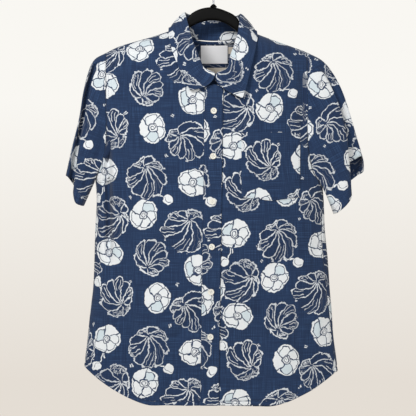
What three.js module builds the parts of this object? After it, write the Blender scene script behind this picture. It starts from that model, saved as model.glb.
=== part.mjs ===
// A short-sleeved hawaiian shirt that hangs on a wide plastic hanger.
// Millimetres, +Z up, the shirt's front faces -Y. "left" and "right" in names of pieces are the
// wearer's, so the right front is at -X. The origin is the inside top of the hook, on the rail.
// The shirt hangs a little askew, so each table holds its own values for the two sides.
import * as THREE from "three";

const clothThickness = 1.2;
const bandThickness = 1.8;
const labelThickness = 1.0;
const seamGap = 0.3;
const layerGap = 0.5;
const nearPlane = 0.35;

const armpitHeight = { right: -401, left: -411 };
const seamHalfAngle = 0.005;
const seamSharpness = 20;
const underarmTurn = 60;
const hemLow = { front: -823, back: -836 };
const hemCorner = -757;
const hemFlatShare = 0.45;
const hemCurve = 1.6;
const hemTilt = 3.5;
const shoulderSoftness = 60;

const neckHalfWidth = 68;
const neckPointHeight = -110;
const frontNeckDrop = 117;
const backNeckDrop = 18;

const bandWidth = 34.5;
const bandTop = -221;
const bandTopRound = 6.5;
const bandLean = 0.0146;
const bandCentreAtTop = 0.9;
const underlap = 13;
const bandColumns = 4;
const bandRows = 26;

const buttonCount = 6;
const topButton = -270.5;
const buttonPitch = 84.5;
const buttonRadius = 5.8;
const buttonThickness = 2.4;
const buttonHoleRadius = 0.85;
const buttonHoleOffset = 1.5;

const pocketBox = { left: 52, right: 163, top: -310, bottom: -431, point: 7 };
const pocketColumns = 10;
const pocketRows = 8;

const hookWire = 1.7;
const hookInside = 20;
const hookBend = { startHeight: -53, x: 5, height: -44.5 };
const crookFrom = -40;
const crookTo = 185;
const crookStep = 25;
const capFoot = -67;
const capTop = -62;
const capFootRadius = 6.6;
const capTopRadius = 3.6;
const hangerDepth = 12;
const hangerEdge = 2.5;
const hangerSteps = 40;

// A table is a list of rows, each an object with the named columns.
function table(columns, ...rows) {
  return rows.map((row) => Object.fromEntries(columns.map((name, i) => [name, row[i]])));
}

// The body's sections from the hem up: how far the cloth reaches to either side of the hook, and
// how far its front and its back stand from the hanger's plane. Above the armpits the reach goes
// on past the armholes, because the sleeves carry the form on.
const sections = table(
  ["height", "minX", "maxX", "front", "back"],
  [-850, -248, 239, 40, 44],
  [-757, -247, 237, 42, 46],
  [-696, -240.5, 229.5, 46, 49],
  [-650, -236, 226.5, 49, 52],
  [-605, -230.5, 222.5, 52, 54],
  [-551, -228, 219, 54, 56],
  [-495, -226.5, 213.5, 56, 57],
  [-436, -223.5, 211, 58, 57],
  [-401, -226, 208, 59, 57],
  [-378, -230, 207, 60, 57],
  [-327, -236, 212, 60, 56],
  [-250, -246, 219, 60, 54],
  [-110, -250, 222, 58, 50],
);

// The armhole seams from the armpit up to the shoulder.
const armholes = table(
  ["height", "right", "left"],
  [-385, -219, 189.5],
  [-365, -211, 184],
  [-327, -203.5, 178],
  [-250, -203, 177.5],
  [-140, -205, 178],
);

// The left side seam is turned to the front, so a strip of the back shows beside it.
const leftSeam = table(
  ["height", "angle"],
  [-850, 0.12],
  [-700, 0.18],
  [-600, 0.26],
  [-500, 0.27],
  [-411, 0.06],
);

// The shoulder line along the hanger. Between the neck points it is only a guide for the neck.
const shoulderLine = table(
  ["x", "height"],
  [-230, -168],
  [-205, -154.5],
  [-182, -143],
  [-158, -135.5],
  [-113, -122.5],
  [-82, -112],
  [-40, -96],
  [0, -86],
  [40, -99],
  [82, -118],
  [142, -140],
  [178, -153.5],
  [205, -168],
);

// Vertical folds, as ridges (rise above 0) or troughs: where each starts and ends, and its width.
const frontFolds = table(
  ["top", "foot", "topX", "footX", "width", "rise"],
  [-315, -575, -202, -198, 9, -8],
  [-330, -560, -187, -182, 12, 4],
  [-185, -318, 168, 168, 13, -6],
  [-560, -830, 150, 128, 26, 5],
  [-520, -830, 92, 70, 24, -4],
  [-600, -830, -95, -120, 26, 4],
  [-560, -830, -150, -172, 22, -4],
);
const backFolds = table(
  ["top", "foot", "topX", "footX", "width", "rise"],
  [-200, -620, -120, -135, 24, -5],
  [-220, -830, -70, -85, 26, 5],
  [-210, -700, 95, 112, 24, -5],
  [-300, -830, 40, 52, 28, 4],
  [-420, -830, 160, 170, 20, 4],
);

// The sleeves' hem rings: share 0 is the outermost point, 1 the underarm. The front runs through
// the crease and its fold, and the back is plain.
const cuffFront = {
  right: table(
    ["share", "x", "y", "height"],
    [0, -284, 8, -389],
    [0.06, -280, 0, -391],
    [0.1, -268, -3, -396],
    [0.14, -248, -4, -401],
    [0.18, -254, -9, -406],
    [0.24, -265.5, -14, -414],
    [0.32, -266.5, -20, -425],
    [0.54, -262, -24, -441],
    [0.84, -252, -15, -447],
    [1, -248, 0, -447.5],
  ),
  left: table(
    ["share", "x", "y", "height"],
    [0, 289, 10, -362],
    [0.06, 284, 1, -352],
    [0.1, 272, -3, -358],
    [0.14, 246, -4, -375],
    [0.18, 250, -9, -395],
    [0.24, 262, -14, -420],
    [0.32, 261.5, -20, -432],
    [0.54, 252, -25, -446],
    [0.84, 236.5, -16, -460],
    [1, 230, 0, -463],
  ),
};
const cuffBack = {
  right: table(
    ["share", "x", "y", "height"],
    [0, -284, 8, -389],
    [0.1, -280, 17, -393],
    [0.32, -271, 25, -407],
    [0.6, -260, 24, -426],
    [0.84, -251, 15, -441],
    [1, -248, 0, -447.5],
  ),
  left: table(
    ["share", "x", "y", "height"],
    [0, 289, 10, -362],
    [0.1, 290, 18, -380],
    [0.32, 278, 26, -389],
    [0.6, 258, 25, -408],
    [0.84, 238, 16, -447],
    [1, 230, 0, -463],
  ),
};

// Where the outermost line and the front fold of each sleeve run on their way to the hem.
const sleeveLines = {
  right: table(
    ["along", "outerX", "outerHeight", "foldX", "foldHeight"],
    [0.08, -226, -166, -219, -199],
    [0.2, -238, -187, -231, -217],
    [0.4, -249.5, -230, -240, -258],
    [0.6, -258, -281, -250, -304],
    [0.8, -272.5, -338, -258.5, -358],
  ),
  left: table(
    ["along", "outerX", "outerHeight", "foldX", "foldHeight"],
    [0.08, 204.5, -167, 198, -195],
    [0.2, 223.5, -187, 217.5, -214],
    [0.4, 244, -226, 238.5, -258],
    [0.6, 260, -273, 252, -308],
    [0.8, 275.5, -322, 258, -364],
  ),
};
const foldShare = 0.24;

// The collar round the neck: angle 0 is the middle of the back, 90 the neck point and 180 the
// front. The roll is the top of the fold, the edge is the leaf's outline.
const collar = {
  right: table(
    ["angle", "rollX", "rollY", "rollZ", "edgeX", "edgeY", "edgeZ"],
    [0, 0, 44, -80, 0, 50, -124],
    [35, -30, 38, -78, -45, 45, -122],
    [65, -48, 20, -76, -76, 25, -116],
    [90, -53.5, -1, -77, -83, -1, -107.5],
    [98, -50, -15, -91, -85.5, -16, -114],
    [108, -44.5, -29, -112, -84.5, -35, -128],
    [125, -37, -41, -139, -78, -50, -155],
    [145, -24, -49, -172, -64, -58, -192],
    [163, -17, -55, -189, -51, -63, -219],
    [180, 2.8, -58.5, -199.5, -44, -65, -232],
  ),
  left: table(
    ["angle", "rollX", "rollY", "rollZ", "edgeX", "edgeY", "edgeZ"],
    [0, 0, 44, -80, 0, 50, -124],
    [35, 30, 38, -79, 45, 45, -124],
    [65, 46, 20, -79, 76, 25, -120],
    [90, 50, -1, -80.5, 81.5, -1, -114.5],
    [98, 48, -15, -97, 84, -16, -124],
    [108, 44.5, -29, -118, 81, -36, -141],
    [125, 38, -41, -142, 76, -52, -165],
    [145, 29.5, -49, -168, 68, -59, -197],
    [163, 24.5, -56, -190, 61, -64, -226],
    [180, 5.4, -59, -199.5, 54, -66, -247],
  ),
};
const rollRadius = 3.2;
const rollWidth = 6;
const rollPeak = 0.4;
const rollGap = 1.2;
const standInset = 1.4;
const standRows = 3;
const fallLift = 3.4;
const fallRows = 7;
const leafBulge = 2.5;

// The leaves' front edges bow down and towards the middle, from this angle on.
const bowFrom = 145;
const frontBow = {
  right: new THREE.Vector3(18.5, 0, -12),
  left: new THREE.Vector3(-35.5, 0, 1),
};
const standEnds = 160;
const frontEndTurn = 1.52;
const turnSteps = 8;
const backSteps = 6;

// The labels on the inside of the back.
const labelSteps = 4;
const labels = table(
  ["minX", "maxX", "top", "foot"],
  [-24.5, 27.5, -136, -170],
  [29, 38, -139, -151.5],
  [-13, 26, -178, -203],
);

// The hanger's outline, upper and lower edge.
const hangerOutline = table(
  ["x", "top", "bottom"],
  [-212, -164.5, -176],
  [-200, -156.5, -174],
  [-182, -148, -169],
  [-158, -140.5, -162],
  [-113, -127.5, -151],
  [-84, -118.5, -143],
  [-71, -116.5, -133],
  [-61, -109, -123],
  [-50, -90, -111],
  [-42, -79, -104],
  [-22, -69.5, -95],
  [0, -67.5, -92],
  [22, -73.5, -97.5],
  [43, -85, -112],
  [52, -99, -123],
  [64, -117, -134],
  [84, -125, -148],
  [142, -145, -165],
  [178, -158.5, -177],
  [190, -166, -181],
);

const mix = (a, b, t) => a + (b - a) * t;
const clamp01 = (t) => Math.min(1, Math.max(0, t));
const smooth = (t) => clamp01(t) ** 2 * (3 - 2 * clamp01(t));

// The value of a column at a place, on a smooth curve through the table's rows.
function read(rows, by, name, at) {
  const last = rows.length - 1;
  const rising = rows[last][by] > rows[0][by];
  const beyond = (i) => (rising ? rows[i][by] <= at : rows[i][by] >= at);
  let i = 0;
  while (i < last - 1 && beyond(i + 1)) i += 1;
  const slope = (k) => {
    const a = Math.max(0, k - 1);
    const b = Math.min(last, k + 1);
    return (rows[b][name] - rows[a][name]) / (rows[b][by] - rows[a][by]);
  };
  const span = rows[i + 1][by] - rows[i][by];
  const t = clamp01((at - rows[i][by]) / span);
  const [t2, t3] = [t * t, t * t * t];
  return (
    (2 * t3 - 3 * t2 + 1) * rows[i][name] +
    (t3 - 2 * t2 + t) * span * slope(i) +
    (3 * t2 - 2 * t3) * rows[i + 1][name] +
    (t3 - t2) * span * slope(i + 1)
  );
}

function foldRise(folds, x, height) {
  let rise = 0;
  for (const fold of folds) {
    const along = (fold.top - height) / (fold.top - fold.foot);
    const fade = smooth(along * 4) * smooth((1 - along) * 4 + (fold.foot < -800 ? 1 : 0));
    const off = (x - mix(fold.topX, fold.footX, clamp01(along))) / fold.width;
    rise += fold.rise * fade * Math.exp(-off * off);
  }
  return rise;
}

const shoulderHeight = (x) => read(shoulderLine, "x", "height", x);
const middle = (height) =>
  (read(sections, "height", "minX", height) + read(sections, "height", "maxX", height)) / 2;
const reach = (height) =>
  (read(sections, "height", "maxX", height) - read(sections, "height", "minX", height)) / 2;

// A point of the body's outer face. The angle is 0 at the wearer's left side, a half turn at the
// right side, positive over the front and negative over the back.
function bodyPoint(angle, height, out = 0) {
  const x = middle(height) + reach(height) * Math.cos(angle);
  const side = Math.sin(angle);
  const depth = read(sections, "height", side > 0 ? "front" : "back", height);
  const below = Math.max(0, shoulderHeight(x) - height);
  const drape = Math.sqrt(1 - Math.exp(-below / shoulderSoftness));
  const rise = foldRise(side > 0 ? frontFolds : backFolds, x, height) * Math.abs(side);
  const seam = seamGap * Math.tanh(seamSharpness * Math.abs(side));
  const stand = (depth * Math.abs(side) + rise) * drape + seam;
  return new THREE.Vector3(x, -Math.sign(side) * (stand + out), height);
}

function angleAt(x, height) {
  const share = (x - middle(height)) / reach(height);
  return Math.acos(Math.max(-1, Math.min(1, share)));
}

const frontY = (x, height, out = 0) => bodyPoint(angleAt(x, height), height, out).y;
const backY = (x, height, out = 0) => bodyPoint(-angleAt(x, height), height, out).y;

const bandCentre = (height) => bandCentreAtTop + bandLean * (height - bandTop);

// The side seam as an angle: its front edge, or its back one.
function seamAngle(side, face, height) {
  if (side === "right") return (Math.PI - seamHalfAngle) * (face === "front" ? 1 : -1);
  return read(leftSeam, "height", "angle", height) + seamHalfAngle * (face === "front" ? 1 : -1);
}

// The armhole or, below the armpit, the side seam, as an angle.
function edgeAngle(side, face, height) {
  const pit = armpitHeight[side];
  const seam = seamAngle(side, face, Math.min(height, pit));
  if (height <= pit) return seam;
  const pitX = middle(pit) + reach(pit) * Math.cos(seam);
  const rows = [{ height: pit, [side]: pitX }, ...armholes];
  const armhole = angleAt(read(rows, "height", side, height), height);
  if (face === "front") return armhole;
  return mix(seam, -armhole, smooth((height - pit) / underarmTurn));
}

function hemHeight(x, face) {
  const share = Math.abs(x - middle(hemCorner)) / reach(hemCorner);
  const lift = clamp01((share - hemFlatShare) / (1 - hemFlatShare)) ** hemCurve;
  const tilt = x < middle(hemCorner) ? hemTilt : -hemTilt;
  return mix(hemLow[face], hemCorner + tilt, lift);
}

// The direction of a line of points at one of them, to second order at its ends.
function slope(point, k, last, endless) {
  const turned = (k === 0 || k === last) && !endless && last > 1;
  if (!turned) return point(Math.min(k + 1, endless ? k + 1 : last)).clone().sub(point(k - 1));
  const step = k === 0 ? 1 : -1;
  return point(k).clone().multiplyScalar(-3).addScaledVector(point(k + step), 4)
    .sub(point(k + 2 * step)).multiplyScalar(step);
}

// A closed wall through a grid of outer points, rows by columns. The wall's thickness goes to the
// side away from the grid's outer face, and a round grid closes on itself along its rows. At a seam
// that lies in the hanger's plane the wall's edge stays in that plane.
function wall(grid, thickness, round = false) {
  const rows = grid.length;
  const columns = grid[0].length;
  const at = (i, j) => {
    const row = grid[Math.min(rows - 1, Math.max(0, i))];
    return row[round ? (j + columns) % columns : Math.min(columns - 1, Math.max(0, j))];
  };
  const outer = [];
  const inner = [];
  for (let i = 0; i < rows; i += 1) {
    for (let j = 0; j < columns; j += 1) {
      const across = slope((k) => at(i, k), j, columns - 1, round);
      const along = slope((k) => at(k, j), i, rows - 1, false);
      const normal = across.cross(along).normalize();
      if (Math.abs(at(i, j).y) < nearPlane) normal.setY(0).normalize();
      outer.push(at(i, j));
      inner.push(at(i, j).clone().addScaledVector(normal, -thickness));
    }
  }
  const points = [...outer, ...inner];
  const index = [];
  const back = outer.length;
  const quad = (a, b, c, d) => index.push(a, b, c, a, c, d);
  const spans = round ? columns : columns - 1;
  for (let i = 0; i < rows - 1; i += 1) {
    for (let j = 0; j < spans; j += 1) {
      const next = (j + 1) % columns;
      const [a, b] = [i * columns + j, i * columns + next];
      const [c, d] = [b + columns, a + columns];
      quad(a, b, c, d);
      quad(back + a, back + d, back + c, back + b);
    }
  }
  for (let j = 0; j < spans; j += 1) {
    const next = (j + 1) % columns;
    const foot = (rows - 1) * columns;
    quad(j, back + j, back + next, next);
    quad(foot + j, foot + next, back + foot + next, back + foot + j);
  }
  for (let i = 0; i < rows - 1 && !round; i += 1) {
    const [a, b] = [i * columns, (i + 1) * columns];
    const end = columns - 1;
    quad(a, b, back + b, back + a);
    quad(a + end, back + a + end, back + b + end, b + end);
  }
  const geometry = new THREE.BufferGeometry();
  geometry.setFromPoints(points);
  geometry.setIndex(index);
  return geometry;
}

const shirt = new THREE.Group();
const cloth = { color: 0x2c4268, roughness: 0.9, metalness: 0 };
const cream = { color: 0xece6d6, roughness: 0.35, metalness: 0 };
const white = { color: 0xf1f0ea, roughness: 0.7, metalness: 0 };
const beige = { color: 0xc9bfae, roughness: 0.8, metalness: 0 };
const black = { color: 0x111214, roughness: 0.35, metalness: 0 };
const steel = { color: 0xb9bcc0, roughness: 0.25, metalness: 1 };

function add(name, geometry, finish) {
  const mesh = new THREE.Mesh(geometry, new THREE.MeshStandardMaterial(finish));
  mesh.name = name;
  shirt.add(mesh);
  return mesh;
}

// The rows of a panel: even from the hem to the armpit, then closer towards the shoulder.
const lowRows = 11;
const highShares = [1, 0.84, 0.68, 0.54, 0.42, 0.32, 0.24, 0.18, 0.14, 0.1, 0.06, 0.03, 0];

// A column of a panel from its point on the top edge down to the hem, as a list of points.
// The share says how far the column lies from the outer edge towards the inner one.
function panelColumn(topX, topHeight, side, face, innerAngle, share) {
  const sign = face === "front" ? 1 : -1;
  const pit = armpitHeight[side];
  const angle = (height) => mix(edgeAngle(side, face, height), sign * innerAngle(height), share);
  const heights = highShares.map((s) => mix(topHeight, pit, s)).reverse();
  const foot = middle(hemCorner) + reach(hemCorner) * Math.cos(angle(hemCorner));
  const hem = hemHeight(foot, face);
  for (let i = 1; i <= lowRows; i += 1) heights.push(mix(pit, hem, i / lowRows));
  return heights.map((height) => bodyPoint(angle(height), height));
}

const shoulderSpans = 7;
const neckSpans = 8;

// The top edge of a front or half back: the shoulder from the armhole to the neck point, then the
// neckline down to the middle and on to the panel's inner edge.
function topEdge(side, drop, innerX) {
  const out = side === "right" ? -1 : 1;
  const shoulderX = armholes.at(-1)[side];
  const neckX = out * neckHalfWidth;
  const edge = [];
  for (let i = 0; i < shoulderSpans; i += 1) {
    const x = mix(shoulderX, neckX, i / shoulderSpans);
    edge.push({ x, height: shoulderHeight(x) });
  }
  for (let i = 0; i <= neckSpans; i += 1) {
    const turn = (i / neckSpans) * Math.acos(innerX / neckX);
    const start = shoulderHeight(neckX);
    edge.push({ x: neckX * Math.cos(turn), height: mix(start, neckPointHeight - drop, Math.sin(turn)) });
  }
  return edge;
}

function panelGrid(side, face, edge, innerAngle) {
  const sign = face === "front" ? 1 : -1;
  const columns = edge.map(({ x, height }) => {
    const outerAt = edgeAngle(side, face, height);
    const share = (sign * angleAt(x, height) - outerAt) / (sign * innerAngle(height) - outerAt);
    return panelColumn(x, height, side, face, innerAngle, clamp01(share));
  });
  return columns[0].map((_, i) => columns.map((column) => column[i]));
}

const reversed = (grid) => grid.map((row) => [...row].reverse());

// The right front runs on under the band, the left front stops at the band's seam.
const rightEdge = topEdge("right", frontNeckDrop, bandCentre(bandTop) + underlap);
const rightGrid = panelGrid("right", "front", rightEdge, (height) =>
  angleAt(bandCentre(height) + underlap, height));
const leftEdge = topEdge("left", frontNeckDrop, bandCentre(bandTop) + bandWidth / 2 + seamGap);
const leftGrid = reversed(panelGrid("left", "front", leftEdge, (height) =>
  angleAt(bandCentre(height) + bandWidth / 2 + seamGap, height)));
add("right_front", wall(reversed(rightGrid), clothThickness), cloth);
add("left_front", wall(reversed(leftGrid), clothThickness), cloth);

// The back is two halves made as one, so its middle column is shared.
const backMiddle = (height) => angleAt(0, height);
const backRight = panelGrid("right", "back", topEdge("right", backNeckDrop, 0), backMiddle);
const backLeft = panelGrid("left", "back", topEdge("left", backNeckDrop, 0), backMiddle);
const backGrid = backRight.map((row, i) => [
  ...row,
  ...[...backLeft[i]].reverse().slice(1),
]);
add("back", wall(backGrid, clothThickness), cloth);

// A sleeve's rings run from the armhole, point for point on the panels' edges, to the hem. Each
// ring starts at the top, comes down the front to the underarm and goes up the back.
const rings = 11;
const sleeveStart = 1.6;
const downShares = [...highShares].reverse();

function sleeveStations(front, rear) {
  const last = downShares.length - 1;
  const down = downShares.map((share, i) => ({ face: "front", share, from: front[i] }));
  const up = downShares.map((share, i) => ({ face: "back", share, from: rear[i] }));
  return [...down, ...up.slice(1, last).reverse()];
}

// How far one of the sleeve's lines lies from the straight way between its start and the hem.
function lineShift(side, shareAt, start, xName, heightName, along) {
  const cuff = cuffFront[side];
  const endX = read(cuff, "share", "x", shareAt);
  const endHeight = read(cuff, "share", "height", shareAt);
  const rows = [
    { along: 0, [xName]: start.x, [heightName]: start.z },
    ...sleeveLines[side],
    { along: 1, [xName]: endX, [heightName]: endHeight },
  ];
  return {
    x: read(rows, "along", xName, along) - mix(start.x, endX, along),
    height: read(rows, "along", heightName, along) - mix(start.z, endHeight, along),
  };
}

function sleeveGrid(side) {
  const out = side === "right" ? -1 : 1;
  const front = side === "right" ? rightGrid.map((row) => row[0]) : leftGrid.map((row) => row.at(-1));
  const rear = side === "right" ? backGrid.map((row) => row[0]) : backGrid.map((row) => row.at(-1));
  const foldStart = front[downShares.indexOf(foldShare)];
  const stationList = sleeveStations(front, rear);
  const grid = [];
  for (let k = 0; k <= rings; k += 1) {
    const along = k / rings;
    const outer = lineShift(side, 0, front[0], "outerX", "outerHeight", along);
    const fold = lineShift(side, foldShare, foldStart, "foldX", "foldHeight", along);
    grid.push(stationList.map(({ face, share, from }) => {
      const start = from.clone();
      start.x += out * mix(seamGap * 1.5, sleeveStart, share ** 4);
      start.z -= share ** 6;
      const cuff = face === "front" ? cuffFront[side] : cuffBack[side];
      const end = new THREE.Vector3(...["x", "y", "height"].map((name) => read(cuff, "share", name, share)));
      const point = start.lerp(end, along);
      const toFold = clamp01(share / foldShare);
      const above = 1 - smooth((share - foldShare) / (1 - foldShare));
      point.x += mix(outer.x, fold.x, toFold) * above;
      point.z += mix(outer.height, fold.height, toFold) * above;
      return point;
    }));
  }
  return grid;
}
add("sleeve_right", wall(sleeveGrid("right"), clothThickness, true), cloth);
add("sleeve_left", wall(reversed(sleeveGrid("left")), clothThickness, true), cloth);

// The button band lies on the right front and meets the left front at its seam.
const bandGrid = [];
for (let i = 0; i <= bandRows; i += 1) {
  const row = [];
  for (let j = 0; j <= bandColumns; j += 1) {
    const across = (j / bandColumns) * 2 - 1;
    const top = bandTop - bandTopRound * across * across;
    const topX = bandCentre(bandTop) + (across * bandWidth) / 2;
    const height = mix(top, hemHeight(topX, "front"), i / bandRows);
    const x = bandCentre(height) + (across * bandWidth) / 2;
    row.push(new THREE.Vector3(x, frontY(x, height, layerGap + bandThickness), height));
  }
  bandGrid.push(row);
}
add("placket", wall(reversed(bandGrid), bandThickness), cloth);

// The pocket follows the left front's surface.
const pocketGrid = [];
for (let i = 0; i <= pocketRows; i += 1) {
  const row = [];
  for (let j = 0; j <= pocketColumns; j += 1) {
    const across = j / pocketColumns;
    const x = mix(pocketBox.left, pocketBox.right, across);
    const point = pocketBox.point * (1 - Math.abs(2 * across - 1));
    const height = mix(pocketBox.top, pocketBox.bottom - point, i / pocketRows);
    row.push(new THREE.Vector3(x, frontY(x, height, layerGap + clothThickness), height));
  }
  pocketGrid.push(row);
}
add("pocket", wall(reversed(pocketGrid), clothThickness), cloth);

// Buttons: flat discs with four holes, on the band.
const fullTurn = Math.PI * 2;
function buttonGeometry() {
  const face = new THREE.Shape().absarc(0, 0, buttonRadius, 0, fullTurn);
  for (const x of [-buttonHoleOffset, buttonHoleOffset]) {
    for (const y of [-buttonHoleOffset, buttonHoleOffset]) {
      face.holes.push(new THREE.Path().absarc(x, y, buttonHoleRadius, 0, fullTurn, true));
    }
  }
  return new THREE.ExtrudeGeometry(face, {
    depth: buttonThickness,
    bevelEnabled: false,
    curveSegments: 5,
  });
}
for (let i = 0; i < buttonCount; i += 1) {
  const height = topButton - i * buttonPitch;
  const x = bandCentre(height);
  const button = add("button_" + (i + 1), buttonGeometry(), cream);
  button.rotation.x = Math.PI / 2;
  button.position.set(x, frontY(x, height, 2 * layerGap + bandThickness), height);
}

// A place on the neckline, just inside the panels, where the collar stand's foot is.
function neckStation(side, face, turn) {
  const out = side === "right" ? -1 : 1;
  const drop = face === "front" ? frontNeckDrop : backNeckDrop;
  const start = shoulderHeight(out * neckHalfWidth);
  const x = out * neckHalfWidth * Math.cos(turn);
  const height = mix(start, neckPointHeight - drop, Math.sin(turn));
  const sign = face === "front" ? 1 : -1;
  const inward = new THREE.Vector3(-out * Math.cos(turn) / neckHalfWidth, 0, Math.sin(turn) / drop);
  const foot = bodyPoint(sign * angleAt(x, height), height, -clothThickness - layerGap);
  return foot.addScaledVector(inward.normalize(), standInset);
}

// The collar's stations, from the right front round the back to the left front. The turn along
// the neckline is 0 at the neck point, and the angle is that of the collar's tables.
const neckPoint = 90;
const quarterTurn = Math.PI / 2;
const stations = [];
function addStation(side, face, turn) {
  const share = face === "front" ? turn / frontEndTurn : -turn / quarterTurn;
  stations.push({ side, angle: neckPoint + share * neckPoint, foot: neckStation(side, face, turn) });
}
for (let i = turnSteps; i >= 0; i -= 1) addStation("right", "front", (frontEndTurn * i) / turnSteps);
for (let i = 1; i < backSteps; i += 1) addStation("right", "back", (quarterTurn * i) / backSteps);
for (let i = backSteps; i > 0; i -= 1) addStation("left", "back", (quarterTurn * i) / backSteps);
for (let i = 0; i <= turnSteps; i += 1) addStation("left", "front", (frontEndTurn * i) / turnSteps);

function collarPoint(station, name) {
  const rows = collar[station.side];
  return new THREE.Vector3(...["X", "Y", "Z"].map((axis) => read(rows, "angle", name + axis, station.angle)));
}

// The height of the neckline at a place across the neck.
function neckHeight(x, drop) {
  const share = Math.sqrt(1 - clamp01(Math.abs(x) / neckHalfWidth) ** 2);
  return mix(shoulderHeight(Math.sign(x) * neckHalfWidth), neckPointHeight - drop, share);
}

// Keeps a point of the fall outside the body's surface, where there is cloth below it.
function lifted(point, lift) {
  const neck = neckHeight(point.x, point.y < 0 ? frontNeckDrop : backNeckDrop);
  if (Math.abs(point.x) < neckHalfWidth && point.z > neck) return point;
  const shoulder = shoulderHeight(point.x);
  if (point.z > shoulder - 1) {
    point.z = Math.max(point.z, shoulder + lift);
    return point;
  }
  if (point.y <= 0) point.y = Math.min(point.y, frontY(point.x, point.z, lift));
  else point.y = Math.max(point.y, backY(point.x, point.z, lift));
  return point;
}

function standTop(station) {
  const roll = collarPoint(station, "roll");
  const down = station.foot.clone().sub(roll).normalize();
  return roll.addScaledVector(down, rollRadius);
}
const standGrid = [];
const standStations = stations.filter((station) => station.angle < standEnds);
for (let i = 0; i <= standRows; i += 1) {
  standGrid.push(standStations.map((station) => standTop(station).lerp(station.foot, i / standRows)));
}
add("collar_stand", wall(standGrid, clothThickness), cloth);

// A point of the fall, from the stand's top over the roll and down the leaf to its edge.
function fallPoint(station, row) {
  const roll = collarPoint(station, "roll");
  const edge = collarPoint(station, "edge");
  const top = standTop(station);
  const up = roll.clone().sub(top).normalize();
  const turn = THREE.MathUtils.degToRad(station.angle);
  const out = station.side === "right" ? -1 : 1;
  const away = new THREE.Vector3(out * Math.sin(turn), Math.cos(turn), 0);
  if (row === 0) return top.addScaledVector(up, rollGap);
  if (row === 1) return roll.addScaledVector(away, rollWidth * rollPeak);
  const start = roll.addScaledVector(away, rollWidth).addScaledVector(up, -rollRadius);
  const t = (row - 2) / (fallRows - 2);
  const bulge = Math.sin(Math.PI * t) * leafBulge;
  const bow = smooth((station.angle - bowFrom) / (2 * neckPoint - bowFrom)) * 2 * t * (1 - t);
  const point = start.lerp(edge, t).addScaledVector(away, bulge);
  return lifted(point.addScaledVector(frontBow[station.side], bow), fallLift + clothThickness);
}
const fallGrid = [];
for (let i = 0; i <= fallRows; i += 1) fallGrid.push(stations.map((station) => fallPoint(station, i)));
add("collar_fall", wall(fallGrid, clothThickness), cloth);

// Bare labels on the inside of the back, as flat patches that follow it.
function addLabel(name, { minX, maxX, top, foot }, finish) {
  const grid = [];
  for (let i = 0; i <= labelSteps; i += 1) {
    const height = mix(top, foot, i / labelSteps);
    const row = [];
    for (let j = 0; j <= labelSteps; j += 1) {
      const x = mix(minX, maxX, j / labelSteps);
      row.push(new THREE.Vector3(x, backY(x, height, -clothThickness - layerGap - labelThickness), height));
    }
    grid.push(row);
  }
  add(name, wall(reversed(grid), labelThickness), finish);
}
addLabel("neck_label", labels[0], white);
addLabel("size_label", labels[1], beige);
addLabel("care_label", labels[2], beige);

// The hanger: an arched bar, a cap and a wire hook.
function hangerBar() {
  const upper = [];
  const lower = [];
  const [first, last] = [hangerOutline[0].x, hangerOutline.at(-1).x];
  for (let i = 0; i <= hangerSteps; i += 1) {
    const x = mix(first, last, i / hangerSteps);
    upper.push(new THREE.Vector2(x, read(hangerOutline, "x", "top", x)));
    lower.push(new THREE.Vector2(x, read(hangerOutline, "x", "bottom", x)));
  }
  const outline = new THREE.Shape([...upper, ...lower.reverse()]);
  return new THREE.ExtrudeGeometry(outline, {
    depth: hangerDepth - 2 * hangerEdge,
    bevelThickness: hangerEdge,
    bevelSize: hangerEdge,
    bevelOffset: -hangerEdge,
    bevelSegments: 2,
  }).translate(0, 0, hangerEdge - hangerDepth / 2).rotateX(Math.PI / 2);
}
add("hanger_bar", hangerBar(), black);

const capProfile = [
  new THREE.Vector2(0, capFoot),
  new THREE.Vector2(capFootRadius, capFoot),
  new THREE.Vector2(capFootRadius, capFoot + 1),
  new THREE.Vector2(capTopRadius, capTop),
  new THREE.Vector2(0, capTop),
];
add("hanger_cap", new THREE.LatheGeometry(capProfile, 20).rotateX(Math.PI / 2), black);

// The hook's path: up from the cap, over a slight bend and round the rail.
const hookPath = [
  new THREE.Vector3(0, 0, capTop + seamGap),
  new THREE.Vector3(0, 0, hookBend.startHeight),
  new THREE.Vector3(hookBend.x, 0, hookBend.height),
];
for (let degrees = crookFrom; degrees <= crookTo; degrees += crookStep) {
  const turn = THREE.MathUtils.degToRad(degrees);
  const centre = hookInside + hookWire;
  hookPath.push(new THREE.Vector3(centre * Math.cos(turn), 0, centre * Math.sin(turn) - hookInside));
}
const wire = new THREE.Shape().absarc(0, 0, hookWire, 0, fullTurn);
const hook = new THREE.ExtrudeGeometry(wire, {
  steps: 36,
  curveSegments: 4,
  extrudePath: new THREE.CatmullRomCurve3(hookPath),
});
add("hanger_hook", hook, steel);

export default shirt;
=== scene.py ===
# A short-sleeved printed cotton shirt, hung on a wide black plastic hanger.
# Lengths are millimetres until a mesh is made, and metres in Blender. The front faces -Y. Left and
# right in the names of pieces are the wearer's, so the right front lies at -X.
import math

import bmesh
import bpy
import numpy as np
from mathutils import Matrix, Vector


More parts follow.
